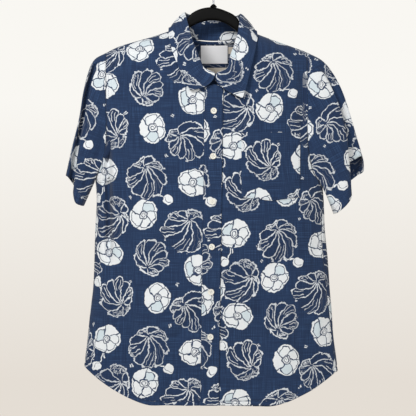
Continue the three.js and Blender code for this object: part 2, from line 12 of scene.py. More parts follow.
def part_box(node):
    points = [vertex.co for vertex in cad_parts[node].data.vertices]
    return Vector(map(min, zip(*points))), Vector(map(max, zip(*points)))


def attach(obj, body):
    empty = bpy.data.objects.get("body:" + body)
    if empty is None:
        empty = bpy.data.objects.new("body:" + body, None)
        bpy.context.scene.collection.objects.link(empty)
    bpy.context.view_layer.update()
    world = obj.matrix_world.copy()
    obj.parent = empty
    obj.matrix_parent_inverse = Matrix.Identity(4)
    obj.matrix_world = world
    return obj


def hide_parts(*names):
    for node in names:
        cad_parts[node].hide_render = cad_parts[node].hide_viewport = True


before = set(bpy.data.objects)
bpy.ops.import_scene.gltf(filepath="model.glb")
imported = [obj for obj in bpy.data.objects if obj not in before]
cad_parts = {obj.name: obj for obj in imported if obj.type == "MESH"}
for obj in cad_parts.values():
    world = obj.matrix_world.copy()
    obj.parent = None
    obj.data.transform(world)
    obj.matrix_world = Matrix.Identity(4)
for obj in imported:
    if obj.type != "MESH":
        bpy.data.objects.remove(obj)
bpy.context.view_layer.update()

MM = 0.001
CLOTH = 0.55
WALL = 1.2
LABEL_PLY = 1.0
LAYER_GAP = 0.5
SEAM_GAP = 0.3

ARMPIT = {"right": -401, "left": -411}
SEAM_HALF_ANGLE = 0.005
UNDERARM_TURN = 60
HEM_LOW = {"front": -823, "back": -836}
HEM_CORNER = -757
HEM_FLAT_SHARE = 0.45
HEM_CURVE = 1.6
HEM_TILT = 3.5
SHOULDER_SOFTNESS = 60
SIDES = {"right": -1, "left": 1}

NECK_HALF_WIDTH = 68
NECK_POINT = -110
NECK_DROP = {"front": 117, "back": 18}
STAND_INSET = 1.4

BAND_WIDTH = 34.5
BAND_TOP = -221
BAND_TOP_ROUND = 6.5
BAND_LEAN = 0.0146
BAND_CENTRE_AT_TOP = 0.9
BAND_PLY = 1.8
UNDERLAP = 13

POCKET = {"left": 52, "right": 163, "top": -310, "foot": -431, "point": 7}

ROLL_RADIUS = 3.2
ROLL_WIDTH = 6
ROLL_GAP = 1.2
FALL_LIFT = 3.4
LEAF_BULGE = 2.5
STAND_ENDS = 160
BOW_FROM = 145
FRONT_BOW = {"right": (18.5, 0, -12), "left": (-35.5, 0, 1)}

HEM_DEPTH = 9
HEM_STITCH = 8
HEM_GROOVE = 1.0
HEM_RISE = 0.5
HEM_PUCKER = 0.45
SEAM_ALLOWANCE = 7
BODY_MIDDLE = (0, 0, -480)


def table(columns, *rows):
    return {name: np.array([row[i] for row in rows], float) for i, name in enumerate(columns)}


# The body's sections from the hem up: how far the cloth reaches to either side of the hook, and
# how far its front and its back stand from the hanger's plane.
SECTIONS = table(
    ("height", "min_x", "max_x", "front", "back"),
    (-850, -248, 239, 40, 44),
    (-757, -247, 237, 42, 46),
    (-696, -240.5, 229.5, 46, 49),
    (-650, -236, 226.5, 49, 52),
    (-605, -230.5, 222.5, 52, 54),
    (-551, -228, 219, 54, 56),
    (-495, -226.5, 213.5, 56, 57),
    (-436, -223.5, 211, 58, 57),
    (-401, -226, 208, 59, 57),
    (-378, -230, 207, 60, 57),
    (-327, -236, 212, 60, 56),
    (-250, -246, 219, 60, 54),
    (-110, -250, 222, 58, 50),
)

ARMHOLES = table(
    ("height", "right", "left"),
    (-385, -219, 189.5),
    (-365, -211, 184),
    (-327, -203.5, 178),
    (-250, -203, 177.5),
    (-140, -205, 178),
)

# The left side seam is turned to the front, so a strip of the back shows beside it.
LEFT_SEAM = table(
    ("height", "angle"),
    (-850, 0.12),
    (-700, 0.18),
    (-600, 0.26),
    (-500, 0.27),
    (-411, 0.06),
)

# How far the back's hem hangs below its even curve, so that its inside shows under the front.
BACK_DROP = table(
    ("x", "drop"),
    (-250, 0),
    (-20, 0.5),
    (40, 2.6),
    (110, 3.2),
    (160, 6),
    (205, 7),
    (238, 1),
)

SHOULDER_LINE = table(
    ("x", "height"),
    (-230, -168),
    (-205, -154.5),
    (-182, -143),
    (-158, -135.5),
    (-113, -122.5),
    (-82, -112),
    (-40, -96),
    (0, -86),
    (40, -99),
    (82, -118),
    (142, -140),
    (178, -153.5),
    (205, -168),
)

# Ridges (rise above 0) and troughs in the hanging cloth, each along a line between two places.
CREASES = {
    "front": table(
        ("x1", "z1", "x2", "z2", "width", "rise"),
        (-201, -300, -198, -575, 6, -34),
        (-187, -330, -184, -560, 10, 8),
        (170, -180, 168, -318, 9, -11),
        (182, -190, 181, -300, 9, 3.5),
        (150, -560, 128, -850, 26, 5),
        (92, -520, 70, -850, 24, -4),
        (-95, -600, -120, -850, 26, 4),
        (-150, -560, -172, -850, 22, -4),
        (-26, -640, -82, -720, 13, -3),
        (140, -530, 112, -575, 12, -2.5),
        (-196, -345, -150, -420, 11, -2.4),
        (-206, -410, -168, -500, 10, 2),
        (-120, -250, -60, -330, 20, -1.6),
        (-60, -420, -120, -520, 22, 1.8),
        (60, -450, 110, -560, 20, 1.8),
        (190, -345, 150, -440, 11, -2.6),
        (182, -400, 160, -520, 12, 2),
        (-40, -760, -52, -850, 12, 2.4),
        (36, -700, 30, -850, 14, -2.2),
        (-26, -640, -78, -704, 9, -3.2),
        (134, -530, 104, -568, 9, -3),
        (-196, -470, -150, -560, 10, -2.6),
        (-214, -560, -186, -700, 9, 3),
        (-130, -300, -96, -250, 12, -2),
        (-60, -560, -34, -640, 12, 2.4),
        (60, -600, 96, -700, 14, 2.6),
        (150, -640, 176, -760, 12, -3.2),
        (200, -480, 186, -620, 9, -3.4),
        (206, -560, 196, -720, 8, 3),
        (-168, -620, -140, -760, 11, -2.6),
        (-70, -740, -96, -850, 12, -2.6),
        (104, -720, 120, -850, 10, 3),
        (-100, -180, -84, -280, 16, 1.8),
        (104, -190, 90, -290, 16, 1.8),
        (-150, -790, -182, -822, 8, 2.2),
    ),
    "back": table(
        ("x1", "z1", "x2", "z2", "width", "rise"),
        (-120, -200, -135, -620, 24, -5),
        (-70, -220, -85, -850, 26, 5),
        (95, -210, 112, -700, 24, -5),
        (40, -300, 52, -850, 28, 4),
        (160, -420, 170, -850, 20, 4),
        (-180, -340, -140, -450, 12, -3),
        (175, -345, 130, -450, 13, -3),
        (-20, -420, -60, -560, 18, 2),
        (0, -600, 30, -720, 16, -2.4),
        (-160, -600, -170, -850, 16, -3),
        (110, -640, 96, -850, 14, 2.6),
        (-110, -700, -118, -850, 12, 2.4),
    ),
}

# The sleeves' hems: share 0 is the outermost point, 1 the underarm. The front runs through the
# deep crease and its fold, and the back is plain.
CUFFS = {
    ("right", "front"): table(
        ("share", "x", "y", "height"),
        (0, -284, 8, -389),
        (0.06, -280, 0, -391),
        (0.1, -268, -3, -396),
        (0.14, -248, -4, -401),
        (0.18, -254, -9, -406),
        (0.24, -265.5, -14, -414),
        (0.32, -266.5, -20, -425),
        (0.54, -262, -24, -441),
        (0.84, -252, -15, -447),
        (1, -248, 0, -447.5),
    ),
    ("left", "front"): table(
        ("share", "x", "y", "height"),
        (0, 289, 10, -362),
        (0.06, 284, 1, -352),
        (0.1, 272, -3, -358),
        (0.14, 246, -4, -375),
        (0.18, 250, -9, -395),
        (0.24, 262, -14, -420),
        (0.32, 261.5, -20, -432),
        (0.54, 252, -25, -446),
        (0.84, 236.5, -16, -460),
        (1, 230, 0, -463),
    ),
    ("right", "back"): table(
        ("share", "x", "y", "height"),
        (0, -284, 8, -389),
        (0.1, -280, 17, -393),
        (0.32, -271, 25, -407),
        (0.6, -260, 24, -426),
        (0.84, -251, 15, -441),
        (1, -248, 0, -447.5),
    ),
    ("left", "back"): table(
        ("share", "x", "y", "height"),
        (0, 289, 10, -362),
        (0.1, 290, 18, -380),
        (0.32, 278, 26, -389),
        (0.6, 258, 25, -408),
        (0.84, 238, 16, -447),
        (1, 230, 0, -463),
    ),
}

# Where the outermost line and the front fold of each sleeve run on their way to the hem.
SLEEVE_LINES = {
    "right": table(
        ("along", "outer_x", "outer_height", "fold_x", "fold_height"),
        (0.08, -226, -166, -219, -199),
        (0.2, -238, -187, -231, -217),
        (0.4, -249.5, -230, -240, -258),
        (0.6, -258, -281, -250, -304),
        (0.8, -272.5, -338, -258.5, -358),
    ),
    "left": table(
        ("along", "outer_x", "outer_height", "fold_x", "fold_height"),
        (0.08, 204.5, -167, 198, -195),
        (0.2, 223.5, -187, 217.5, -214),
        (0.4, 244, -226, 238.5, -258),
        (0.6, 260, -273, 252, -308),
        (0.8, 275.5, -322, 258, -364),
    ),
}
FOLD_SHARE = 0.24
CREASE_FROM = 0.065
CREASE_STEP = 0.02
CREASE_TO = 0.2
CREASE_DEPTH = {"right": 14, "left": 5}

# The collar round the neck: angle 0 is the middle of the back, 90 the neck point and 180 the
# front. The roll is the top of the fold, the edge is the leaf's outline.
COLLAR = {
    "right": table(
        ("angle", "roll_x", "roll_y", "roll_z", "edge_x", "edge_y", "edge_z"),
        (0, 0, 44, -80, 0, 50, -124),
        (35, -30, 38, -78, -45, 45, -122),
        (65, -48, 20, -76, -76, 25, -116),
        (90, -53.5, -1, -77, -83, -1, -107.5),
        (98, -50, -15, -91, -85.5, -16, -114),
        (108, -44.5, -29, -112, -84.5, -35, -128),
        (125, -37, -41, -139, -78, -50, -155),
        (145, -24, -49, -172, -64, -58, -192),
        (163, -17, -55, -189, -51, -63, -219),
        (180, 2.8, -58.5, -199.5, -44, -65, -232),
    ),
    "left": table(
        ("angle", "roll_x", "roll_y", "roll_z", "edge_x", "edge_y", "edge_z"),
        (0, 0, 44, -80, 0, 50, -124),
        (35, 30, 38, -79, 45, 45, -124),
        (65, 46, 20, -79, 76, 25, -120),
        (90, 50, -1, -80.5, 81.5, -1, -114.5),
        (98, 48, -15, -97, 84, -16, -124),
        (108, 44.5, -29, -118, 81, -36, -141),
        (125, 38, -41, -142, 76, -52, -165),
        (145, 29.5, -49, -168, 68, -59, -197),
        (163, 24.5, -56, -190, 61, -64, -226),
        (180, 5.4, -59, -199.5, 54, -66, -247),
    ),
}

HANGER = table(
    ("x", "top", "foot"),
    (-212, -164.5, -176),
    (-200, -156.5, -174),
    (-182, -148, -169),
    (-158, -140.5, -162),
    (-113, -127.5, -151),
    (-84, -118.5, -143),
    (-71, -116.5, -133),
    (-61, -109, -123),
    (-50, -90, -111),
    (-42, -79, -104),
    (-22, -69.5, -95),
    (0, -67.5, -92),
    (22, -73.5, -97.5),
    (43, -85, -112),
    (52, -99, -123),
    (64, -117, -134),
    (84, -125, -148),
    (142, -145, -165),
    (178, -158.5, -177),
    (190, -166, -181),
)
HANGER_DEPTH = 12
CUFF_HEM = 20
COLLAR_STITCH = 5.5


def mix(a, b, t):
    return a + (b - a) * t


def smooth(t):
    t = np.clip(t, 0, 1)
    return t * t * (3 - 2 * t)


def unit(vectors):
    return vectors / np.linalg.norm(vectors, axis=-1, keepdims=True)


def read(rows, by, name, at):
    """The value of a column at a place, on a smooth curve through the table's rows."""
    keys, values = rows[by], rows[name]
    last = len(keys) - 1
    before = np.maximum(np.arange(last + 1) - 1, 0)
    after = np.minimum(np.arange(last + 1) + 1, last)
    slopes = (values[after] - values[before]) / (keys[after] - keys[before])
    at = np.asarray(at, float)
    i = np.clip(np.searchsorted(keys, at, side="right") - 1, 0, last - 1)
    span = keys[i + 1] - keys[i]
    t = np.clip((at - keys[i]) / span, 0, 1)
    return (
        (2 * t**3 - 3 * t**2 + 1) * values[i]
        + (t**3 - 2 * t**2 + t) * span * slopes[i]
        + (3 * t**2 - 2 * t**3) * values[i + 1]
        + (t**3 - t**2) * span * slopes[i + 1]
    )


# The body's form

def shoulder_height(x):
    return read(SHOULDER_LINE, "x", "height", x)


def middle(height):
    return (read(SECTIONS, "height", "min_x", height) + read(SECTIONS, "height", "max_x", height)) / 2


def reach(height):
    return (read(SECTIONS, "height", "max_x", height) - read(SECTIONS, "height", "min_x", height)) / 2


def crease_rise(face, x, height):
    """How far the creases lift the cloth at a place. A crease that ends below the hem runs out."""
    rise = np.zeros(np.broadcast(x, height).shape)
    rows = CREASES[face]
    for x1, z1, x2, z2, width, lift in zip(*(rows[name] for name in rows)):
        length = math.hypot(x2 - x1, z2 - z1)
        dx, dz = (x2 - x1) / length, (z2 - z1) / length
        along = ((x - x1) * dx + (height - z1) * dz) / length
        off = ((x - x1) * dz - (height - z1) * dx) / width
        runs_out = 1 if z2 < HEM_LOW["back"] else 0
        fade = smooth(along * 4) * smooth((1 - along) * 4 + runs_out)
        rise += lift * fade * np.exp(-off * off)
    return rise


def body_point(angle, height, out=0):
    """A point of the body's outer face. The angle is 0 at the wearer's left side, a half turn at
    the right side, positive over the front and negative over the back."""
    angle, height = np.broadcast_arrays(np.asarray(angle, float), np.asarray(height, float))
    x = middle(height) + reach(height) * np.cos(angle)
    side = np.sin(angle)
    front = side > 0
    depth = np.where(front, read(SECTIONS, "height", "front", height), read(SECTIONS, "height", "back", height))
    below = np.maximum(0, shoulder_height(x) - height)
    drape = np.sqrt(1 - np.exp(-below / SHOULDER_SOFTNESS))
    rise = np.where(front, crease_rise("front", x, height), crease_rise("back", x, height))
    stand = (depth + rise) * np.abs(side) * drape + SEAM_GAP * np.tanh(20 * np.abs(side))
    return np.stack([x, -np.sign(side) * (stand + out), height], axis=-1)


def angle_at(x, height):
    return np.arccos(np.clip((x - middle(height)) / reach(height), -1, 1))


def front_point(x, height, out=0):
    point = body_point(angle_at(x, height), height, out)
    point[..., 0] = x
    return point


def back_point(x, height, out=0):
    point = body_point(-angle_at(x, height), height, out)
    point[..., 0] = x
    return point


def band_centre(height):
    return BAND_CENTRE_AT_TOP + BAND_LEAN * (height - BAND_TOP)


def seam_angle(side, face, height):
    sign = 1 if face == "front" else -1
    if side == "right":
        return np.full(np.shape(height), (math.pi - SEAM_HALF_ANGLE) * sign)
    return read(LEFT_SEAM, "height", "angle", height) + SEAM_HALF_ANGLE * sign


def edge_angle(side, face, height):
    """The armhole or, below the armpit, the side seam, as an angle."""
    pit = ARMPIT[side]
    seam = seam_angle(side, face, np.minimum(height, pit))
    pit_x = middle(pit) + reach(pit) * np.cos(seam_angle(side, face, np.array(pit)))
    rows = {
        "height": np.concatenate([[pit], ARMHOLES["height"]]),
        side: np.concatenate([[float(pit_x)], ARMHOLES[side]]),
    }
    armhole = angle_at(read(rows, "height", side, height), height)
    if face == "back":
        armhole = mix(seam, -armhole, smooth((height - pit) / UNDERARM_TURN))
    return np.where(height <= pit, seam, armhole)


def hem_height(x, face):
    share = np.abs(x - middle(HEM_CORNER)) / reach(HEM_CORNER)
    lift = np.clip((share - HEM_FLAT_SHARE) / (1 - HEM_FLAT_SHARE), 0, 1) ** HEM_CURVE
    tilt = np.where(x < middle(HEM_CORNER), HEM_TILT, -HEM_TILT)
    drop = read(BACK_DROP, "x", "drop", x) if face == "back" else 0
    return mix(HEM_LOW[face], HEM_CORNER + tilt, lift) - drop


# The flat cloth: how far a place of the body lies from the front's middle, along the cloth, and
# how high it lies when the curve over the shoulder is laid flat.

ARC_ANGLES = np.linspace(0, math.pi, 721)
ARC_DEPTH = 0.25
ARC_STEPS = np.hypot(np.sin(ARC_ANGLES), ARC_DEPTH * np.cos(ARC_ANGLES)) * (ARC_ANGLES[1] - ARC_ANGLES[0])
ARC_LENGTHS = np.cumsum(ARC_STEPS) - ARC_STEPS[0]
DRAPE_BELOW = np.linspace(0, 1000, 2001) ** 2 / 1000
DRAPE_DEPTH = 58 * np.sqrt(1 - np.exp(-DRAPE_BELOW / SHOULDER_SOFTNESS))
DRAPE_LENGTHS = np.concatenate([[0], np.cumsum(np.hypot(np.diff(DRAPE_BELOW), np.diff(DRAPE_DEPTH)))])
DRAPE_GAIN = DRAPE_LENGTHS[-1] - DRAPE_BELOW[-1]


def flat_place(angle, height):
    turned = np.abs(angle)
    half = ARC_LENGTHS[-1] / 2
    across = (half - np.interp(turned, ARC_ANGLES, ARC_LENGTHS)) * reach(height)
    x = middle(height) + reach(height) * np.cos(angle)
    below = np.maximum(0, shoulder_height(x) - height)
    gain = DRAPE_GAIN - (np.interp(below, DRAPE_BELOW, DRAPE_LENGTHS) - below)
    return np.stack([across, height + gain], axis=-1)


# Grids of points

HIGH_ROWS = 96
LOW_ROWS = 112
SHOULDER_COLUMNS = 44
NECK_COLUMNS = 36
HIGH_SHARES = np.linspace(0, 1, HIGH_ROWS + 1)
HIGH_SHARES = 0.12 * HIGH_SHARES + 0.88 * HIGH_SHARES**2
LOW_SHARES = 1 - (1 - (np.arange(LOW_ROWS) + 1) / LOW_ROWS) ** 1.5


def top_edge(side, drop, inner_x):
    """A panel's top edge: the shoulder from the armhole to the neck point, then the neckline."""
    shoulder_x = ARMHOLES[side][-1]
    neck_x = SIDES[side] * NECK_HALF_WIDTH
    x = mix(shoulder_x, neck_x, np.arange(SHOULDER_COLUMNS) / SHOULDER_COLUMNS)
    turn = np.linspace(0, 1, NECK_COLUMNS + 1) * math.acos(inner_x / neck_x)
    neck_heights = mix(shoulder_height(neck_x), NECK_POINT - drop, np.sin(turn))
    return (
        np.concatenate([x, neck_x * np.cos(turn)]),
        np.concatenate([shoulder_height(x), neck_heights]),
    )


def panel(side, face, inner_x):
    """A front or half back: its points and its flat cloth, rows from the top to the hem, columns
    from the armhole to the inner edge. inner_x says where the inner edge lies at a height."""
    sign = 1 if face == "front" else -1
    pit = ARMPIT[side]
    top_x, top_height = top_edge(side, NECK_DROP[face], float(inner_x(BAND_TOP)))

    def inner(height):
        return sign * angle_at(inner_x(height), height)

    outer_at_top = edge_angle(side, face, top_height)
    share = (sign * angle_at(top_x, top_height) - outer_at_top) / (inner(top_height) - outer_at_top)
    share = np.clip(share, 0, 1)

    def angles(height):
        return mix(edge_angle(side, face, height), inner(height), share)

    foot = middle(HEM_CORNER) + reach(HEM_CORNER) * np.cos(angles(np.full(share.shape, float(HEM_CORNER))))
    hem = hem_height(foot, face)
    high = mix(top_height[None, :], pit, HIGH_SHARES[:, None])
    low = mix(pit, hem[None, :], LOW_SHARES[:, None])
    height = np.concatenate([high, low])
    angle = angles(height)
    points, flat = body_point(angle, height), flat_place(angle, height)
    return hemmed(points, flat, BODY_MIDDLE, height - height[-1:]), flat


def normals(points, inside):
    """The directions away from the cloth, on the side that faces away from a place inside."""
    out = np.cross(np.gradient(points, axis=1), np.gradient(points, axis=0))
    out /= np.linalg.norm(out, axis=-1, keepdims=True) + 1e-9
    if np.sum(out * (points - np.asarray(inside))) < 0:
        out = -out
    return out


def hemmed(points, flat, inside, above):
    """Draws the cloth in along the hem's stitching, with small puckers below it. above says how
    far each place lies from the edge."""
    across = flat[..., 0]
    groove = -HEM_GROOVE * np.exp(-(((above - HEM_STITCH) / 1.5) ** 2))
    wave = np.sin(across / 2.3 + 2.2 * np.sin(across / 21)) * (0.6 + 0.4 * np.sin(across / 37))
    pucker = HEM_PUCKER * wave * np.exp(-(((above - 4.5) / 4) ** 2))
    doubled = HEM_RISE * smooth((HEM_STITCH - 1 - above) / 2)
    return points + normals(points, inside) * (groove + pucker + doubled)[..., None]


def turned_in(points, flat, inside, foot=0, top=0, sides=0):
    """Adds a narrow fold of cloth behind the named edges, as a hem or a seam allowance has."""
    edges = [(0, foot, True), (0, top, False), (1, sides, True), (1, sides, False)]
    for axis, depth, at_end in edges:
        if not depth:
            continue
        out = normals(points, inside)
        lines = np.moveaxis(points, axis, 0)
        flats = np.moveaxis(flat, axis, 0)
        outs = np.moveaxis(out, axis, 0)
        if at_end:
            lines, flats, outs = lines[::-1], flats[::-1], outs[::-1]
        steps = np.linalg.norm(lines[1:, lines.shape[1] // 2] - lines[0, lines.shape[1] // 2], axis=-1)
        within = int(np.searchsorted(steps, depth)) + 1
        edge = lines[0] - outs[0] * 0.45 + (lines[0] - lines[1]) * 0.02
        near = mix(lines[0], lines[within], 0.25) - mix(outs[0], outs[within], 0.25) * 1.0
        far = lines[within] - outs[within] * 1.05
        edge_flat = flats[0] * 2 - flats[1]
        near_flat = mix(flats[0], flats[within], -0.25)
        far_flat = flats[0] * 2 - flats[within]
        lines = np.concatenate([[far], [near], [edge], lines])
        flats = np.concatenate([[far_flat], [near_flat], [edge_flat], flats])
        if at_end:
            lines, flats = lines[::-1], flats[::-1]
        points = np.moveaxis(lines, 0, axis)
        flat = np.moveaxis(flats, 0, axis)
    return points, flat


# Materials


class Number:
    """A number that changes over the surface, so that a pattern is written as a formula."""

    def __init__(self, tree, socket):
        self.tree = tree
        self.socket = socket

    def math(self, operation, *others):
        node = self.tree.nodes.new("ShaderNodeMath")
        node.operation = operation
        for socket, value in zip(node.inputs, (self, *others)):
            put(self.tree, value, socket)
        return Number(self.tree, node.outputs[0])

    def __add__(self, other):
        return self.math("ADD", other)

    def __sub__(self, other):
        return self.math("SUBTRACT", other)

    def __mul__(self, other):
        return self.math("MULTIPLY", other)

    def __truediv__(self, other):
        return self.math("DIVIDE", other)

    def __pow__(self, other):
        return self.math("POWER", other)

    def __neg__(self):
        return self.math("MULTIPLY", -1.0)

    def size(self):
        return self.math("ABSOLUTE")

    def sin(self):
        return self.math("SINE")

    def cos(self):
        return self.math("COSINE")

    def low(self, other):
        return self.math("MINIMUM", other)

    def high(self, other):
        return self.math("MAXIMUM", other)

    def within(self, half_width, softness=0.35):
        """1 where the number is smaller than half_width, 0 where it is larger, with a soft edge."""
        return ramp(self, half_width, softness, falling=True)

    def beyond(self, edge, softness=0.35):
        return ramp(self, edge, softness, falling=False)


def put(tree, value, socket):
    if isinstance(value, Number):
        tree.links.new(value.socket, socket)
    elif isinstance(value, bpy.types.NodeSocket):
        tree.links.new(value, socket)
    else:
        socket.default_value = value


def ramp(number, edge, softness, falling):
    """A soft step at the edge, which may itself change over the surface."""
    tree = number.tree
    off = number - edge
    node = tree.nodes.new("ShaderNodeMapRange")
    node.interpolation_type = "SMOOTHSTEP"
    put(tree, off, node.inputs["Value"])
    node.inputs["From Min"].default_value = -softness
    node.inputs["From Max"].default_value = softness
    node.inputs["To Min"].default_value = 1.0 if falling else 0.0
    node.inputs["To Max"].default_value = 0.0 if falling else 1.0
    return Number(tree, node.outputs["Result"])


def vector_math(tree, operation, *values, output=0):
    node = tree.nodes.new("ShaderNodeVectorMath")
    node.operation = operation
    for socket, value in zip(node.inputs, values):
        put(tree, value, socket)
    return node.outputs[output]


def split(tree, vector):
    node = tree.nodes.new("ShaderNodeSeparateXYZ")
    put(tree, vector, node.inputs[0])
    return [Number(tree, socket) for socket in node.outputs]


def noise(tree, vector, scale, detail=2.0, **settings):
    node = tree.nodes.new("ShaderNodeTexNoise")
    put(tree, vector, node.inputs["Vector"])
    node.inputs["Scale"].default_value = scale
    node.inputs["Detail"].default_value = detail
    for name, value in settings.items():
        node.inputs[name].default_value = value
    return node


def mix_colour(tree, share, first, second):
    node = tree.nodes.new("ShaderNodeMix")
    node.data_type = "RGBA"
    put(tree, share, node.inputs[0])
    put(tree, first, node.inputs[6])
    put(tree, second, node.inputs[7])
    return node.outputs[2]


def colour(red, green, blue):
    """A colour as a paint chart gives it, from 0 to 255, for a shader's socket."""
    return tuple(((c / 255 + 0.055) / 1.055) ** 2.4 if c > 10 else c / 3295 for c in (red, green, blue)) + (1.0,)


NAVY = colour(40, 66, 104)
NAVY_DARK = colour(25, 43, 74)
NAVY_SLUB = colour(58, 88, 130)
LEAF_GROUND = colour(26, 42, 72)
PRINT_WHITE = colour(236, 240, 243)
PRINT_WASH = colour(206, 222, 230)
LEAF_WHITE = colour(226, 231, 236)

# The print repeats over a tile of cloth. The places were set out one by one, blossoms first.
TILE = (292, 318)
BLOSSOMS = table(
    ("x", "y", "turn"),
    (262, 232, 0.4),
    (166, 172, 1.9),
    (190, 16, 3.3),
    (22, 312, 5.1),
    (47, 150, 2.6),
    (92, 254, 0.9),
    (266, 68, 4.2),
    (96, 100, 5.8),
)
LEAVES = table(
    ("x", "y", "turn"),
    (36, 78, 0.7),
    (110, 14, 2.5),
    (246, 146, 4.4),
    (104, 168, 3.5),
    (254, 310, 5.6),
    (180, 92, 1.2),
    (176, 244, 4.9),
    (30, 236, 3.0),
)
BUDS = table(
    ("x", "y", "turn"),
    (69, 44, 0.5),
    (70, 203, 2.2),
    (212, 200, 4.1),
)
TICKS = table(
    ("x", "y", "turn"),
    (141, 204, 0.6),
    (66, 117, 2.3),
    (138, 45, 5.2),
    (228, 40, 1.1),
    (216, 282, 3.7),
    (286, 118, 2.0),
    (62, 280, 0.3),
    (288, 196, 4.6),
    (208, 128, 1.5),
)
BLOSSOM_RADIUS = 27.0
PETALS = 5
HEART_RADIUS = 7.6
LEAF_RADIUS = 38
LEAF_RIBS = 9
LEAF_STEM = 18
BUD_RADIUS = 9.5


def nearest(tree, place, rows):
    """Where the cloth lies as seen from the nearest motif of a table: across, up, the motif's own
    number, its distance, and how much further off the next motif is."""
    half = (TILE[0] / 2, TILE[1] / 2, 1000.0)
    best, second, local = None, None, None
    for x, y, turn in zip(rows["x"], rows["y"], rows["turn"]):
        away = vector_math(tree, "SUBTRACT", place, (x, y, -turn))
        away = vector_math(tree, "WRAP", away, half, tuple(-h for h in half))
        flat = vector_math(tree, "MULTIPLY", away, (1.0, 1.0, 0.0))
        distance = Number(tree, vector_math(tree, "LENGTH", flat, output=1))
        if local is None:
            best, local, second = distance, away, distance + 1000.0
            continue
        closer = distance.math("LESS_THAN", best)
        second = second.low(distance.high(best))
        best = best.low(distance)
        node = tree.nodes.new("ShaderNodeMix")
        node.data_type = "VECTOR"
        put(tree, closer, node.inputs[0])
        put(tree, local, node.inputs[4])
        put(tree, away, node.inputs[5])
        local = node.outputs[1]
    across, up, turn = split(tree, local)
    cosine, sine = turn.cos(), turn.sin()
    return across * cosine + up * sine, up * cosine - across * sine, turn, best, second - best


def blossom(tree, place, rough):
    """A round open flower of broad petals that lap like a wheel, with bold lines of the ground's
    colour. Gives its white, its lines, its wash and the space that it keeps clear."""
    x, y, turn, radius, _ = nearest(tree, place, BLOSSOMS)
    angle = y.math("ARCTAN2", x)
    swing = (angle + turn).sin() * 0.22 + radius * 0.017
    turns = (angle + swing) * (PETALS / (2 * math.pi)) + turn
    petal = turns.math("FRACT") - 0.5
    own = (turns.math("FLOOR") * (4 * math.pi / PETALS) + turn * 3.0).sin()
    bulge = (petal * math.pi).cos().high(0.0)
    oval = (angle * 2.0 + turn).cos() * 2.0
    edge = bulge ** 0.5 * 0.8 + rough * 0.8 + oval + (BLOSSOM_RADIUS - 0.8)
    white = radius.within(edge, 0.5)
    contour = edge - 3.0 - (bulge ** 0.45 * -1.0 + 1.0) * 5.0 - own * 0.9
    rim = (radius - contour).size().within(0.8) * own.beyond(-0.75, 0.15)
    gap = (petal.size() * -1.0 + 0.5) * (radius * (2 * math.pi / PETALS))
    between = gap.within(rough * 0.35 + 0.95) * radius.beyond(HEART_RADIUS)
    heart_edge = bulge * 0.7 + HEART_RADIUS - 0.4
    cup = (radius - heart_edge).size().within(0.8)
    coil = (radius * 0.31 - angle / (2 * math.pi)).math("FRACT") - 0.5
    spiral = (coil.size() * -3.2 + 1.6).within(0.62) * radius.within(HEART_RADIUS) * radius.beyond(1.6)
    lines = between.high(rim).high(cup).high(spiral)
    wash = own.beyond(0.8, 0.1) * radius.beyond(HEART_RADIUS) * (contour - radius).beyond(0.0) * 0.8
    wash = wash.high(petal.beyond(0.3, 0.2) * radius.beyond(HEART_RADIUS) * 0.3)
    clear = radius.within(edge + 2.6, 0.5)
    return white, lines, wash, clear


def leaf(tree, place, rough):
    """A ruffled leaf drawn in line: ribs fan out from its stem to a scalloped edge, close together
    on one side, and far apart and torn on the other. Gives its lines and its inside."""
    x, y, turn, _, margin = nearest(tree, place, LEAVES)
    x = x + LEAF_STEM
    radius = (x * x + y * y) ** 0.5
    angle = y.math("ARCTAN2", x)
    curl = angle + radius * 0.012
    tilt = (turn * 5.0).sin() * 1.1
    even = LEAF_RIBS / (2 * math.pi)
    crowding = even * 0.62
    phase = curl * even + (curl + tilt).sin() * crowding
    per_turn = (curl + tilt).cos() * crowding + even
    share = phase.math("FRACT") - 0.5
    own = (phase.math("FLOOR") * (10 * math.pi / LEAF_RIBS) + turn * 7.0).sin()
    lobe = (share * math.pi).cos().high(0.0) ** 0.5
    broad = (per_turn / (even + crowding) * -1.0 + 1.0).high(0.0)
    form = (angle.cos() * LEAF_STEM) + (angle * 2.0 + (turn * 3.0).sin()).cos() * 4.5
    ruffle = lobe * 9.0 + own * 2.2 + rough * (broad * 5.0 + 1.6)
    edge = form + ruffle * (angle.cos() * 0.4 + 0.6) + (LEAF_RADIUS - 9.0)
    edge = edge * ((turn * 9.0).sin() * 0.13 + 1.0)
    outline = (radius - edge).size().within(rough * 0.5 + 1.3, 0.4)
    beside = (share.size() * -1.0 + 0.5) / per_turn * radius
    rib = beside.within(rough * 0.3 + 1.05, 0.4) * radius.beyond(own * 2.5 + 4.0) * radius.within(edge)
    rib = rib * (own * 0.5 + rough).within(0.45, 0.15).high(radius.within(edge * 0.75))
    vein = ((share.size() - 0.2).size() / per_turn * radius).within(0.65, 0.35)
    veins = vein * radius.beyond(edge * 0.55) * radius.within(edge - 4.0) * own.beyond(0.2, 0.2)
    torn = (radius - edge * 0.62 - rough * 7.0).size().within(0.8, 0.4)
    torn = torn * broad.beyond(0.42, 0.05) * own.beyond(-0.1, 0.1) * share.size().within(0.4, 0.03)
    double = (radius - edge + 4.2 - rough * 2.0).size().within(0.7, 0.4) * (own + share).beyond(0.2, 0.15)
    free = margin.beyond(3.0, 0.5)
    inside = radius.within(edge) * free
    drawn = outline.high(rib).high(veins).high(torn).high(double * broad.beyond(0.15, 0.1)) * free
    drawn = drawn * ((angle + turn * 3.0).cos() * 0.15 + 0.94).low(1.0)
    return drawn, inside, radius.within(edge + 2.2) * free


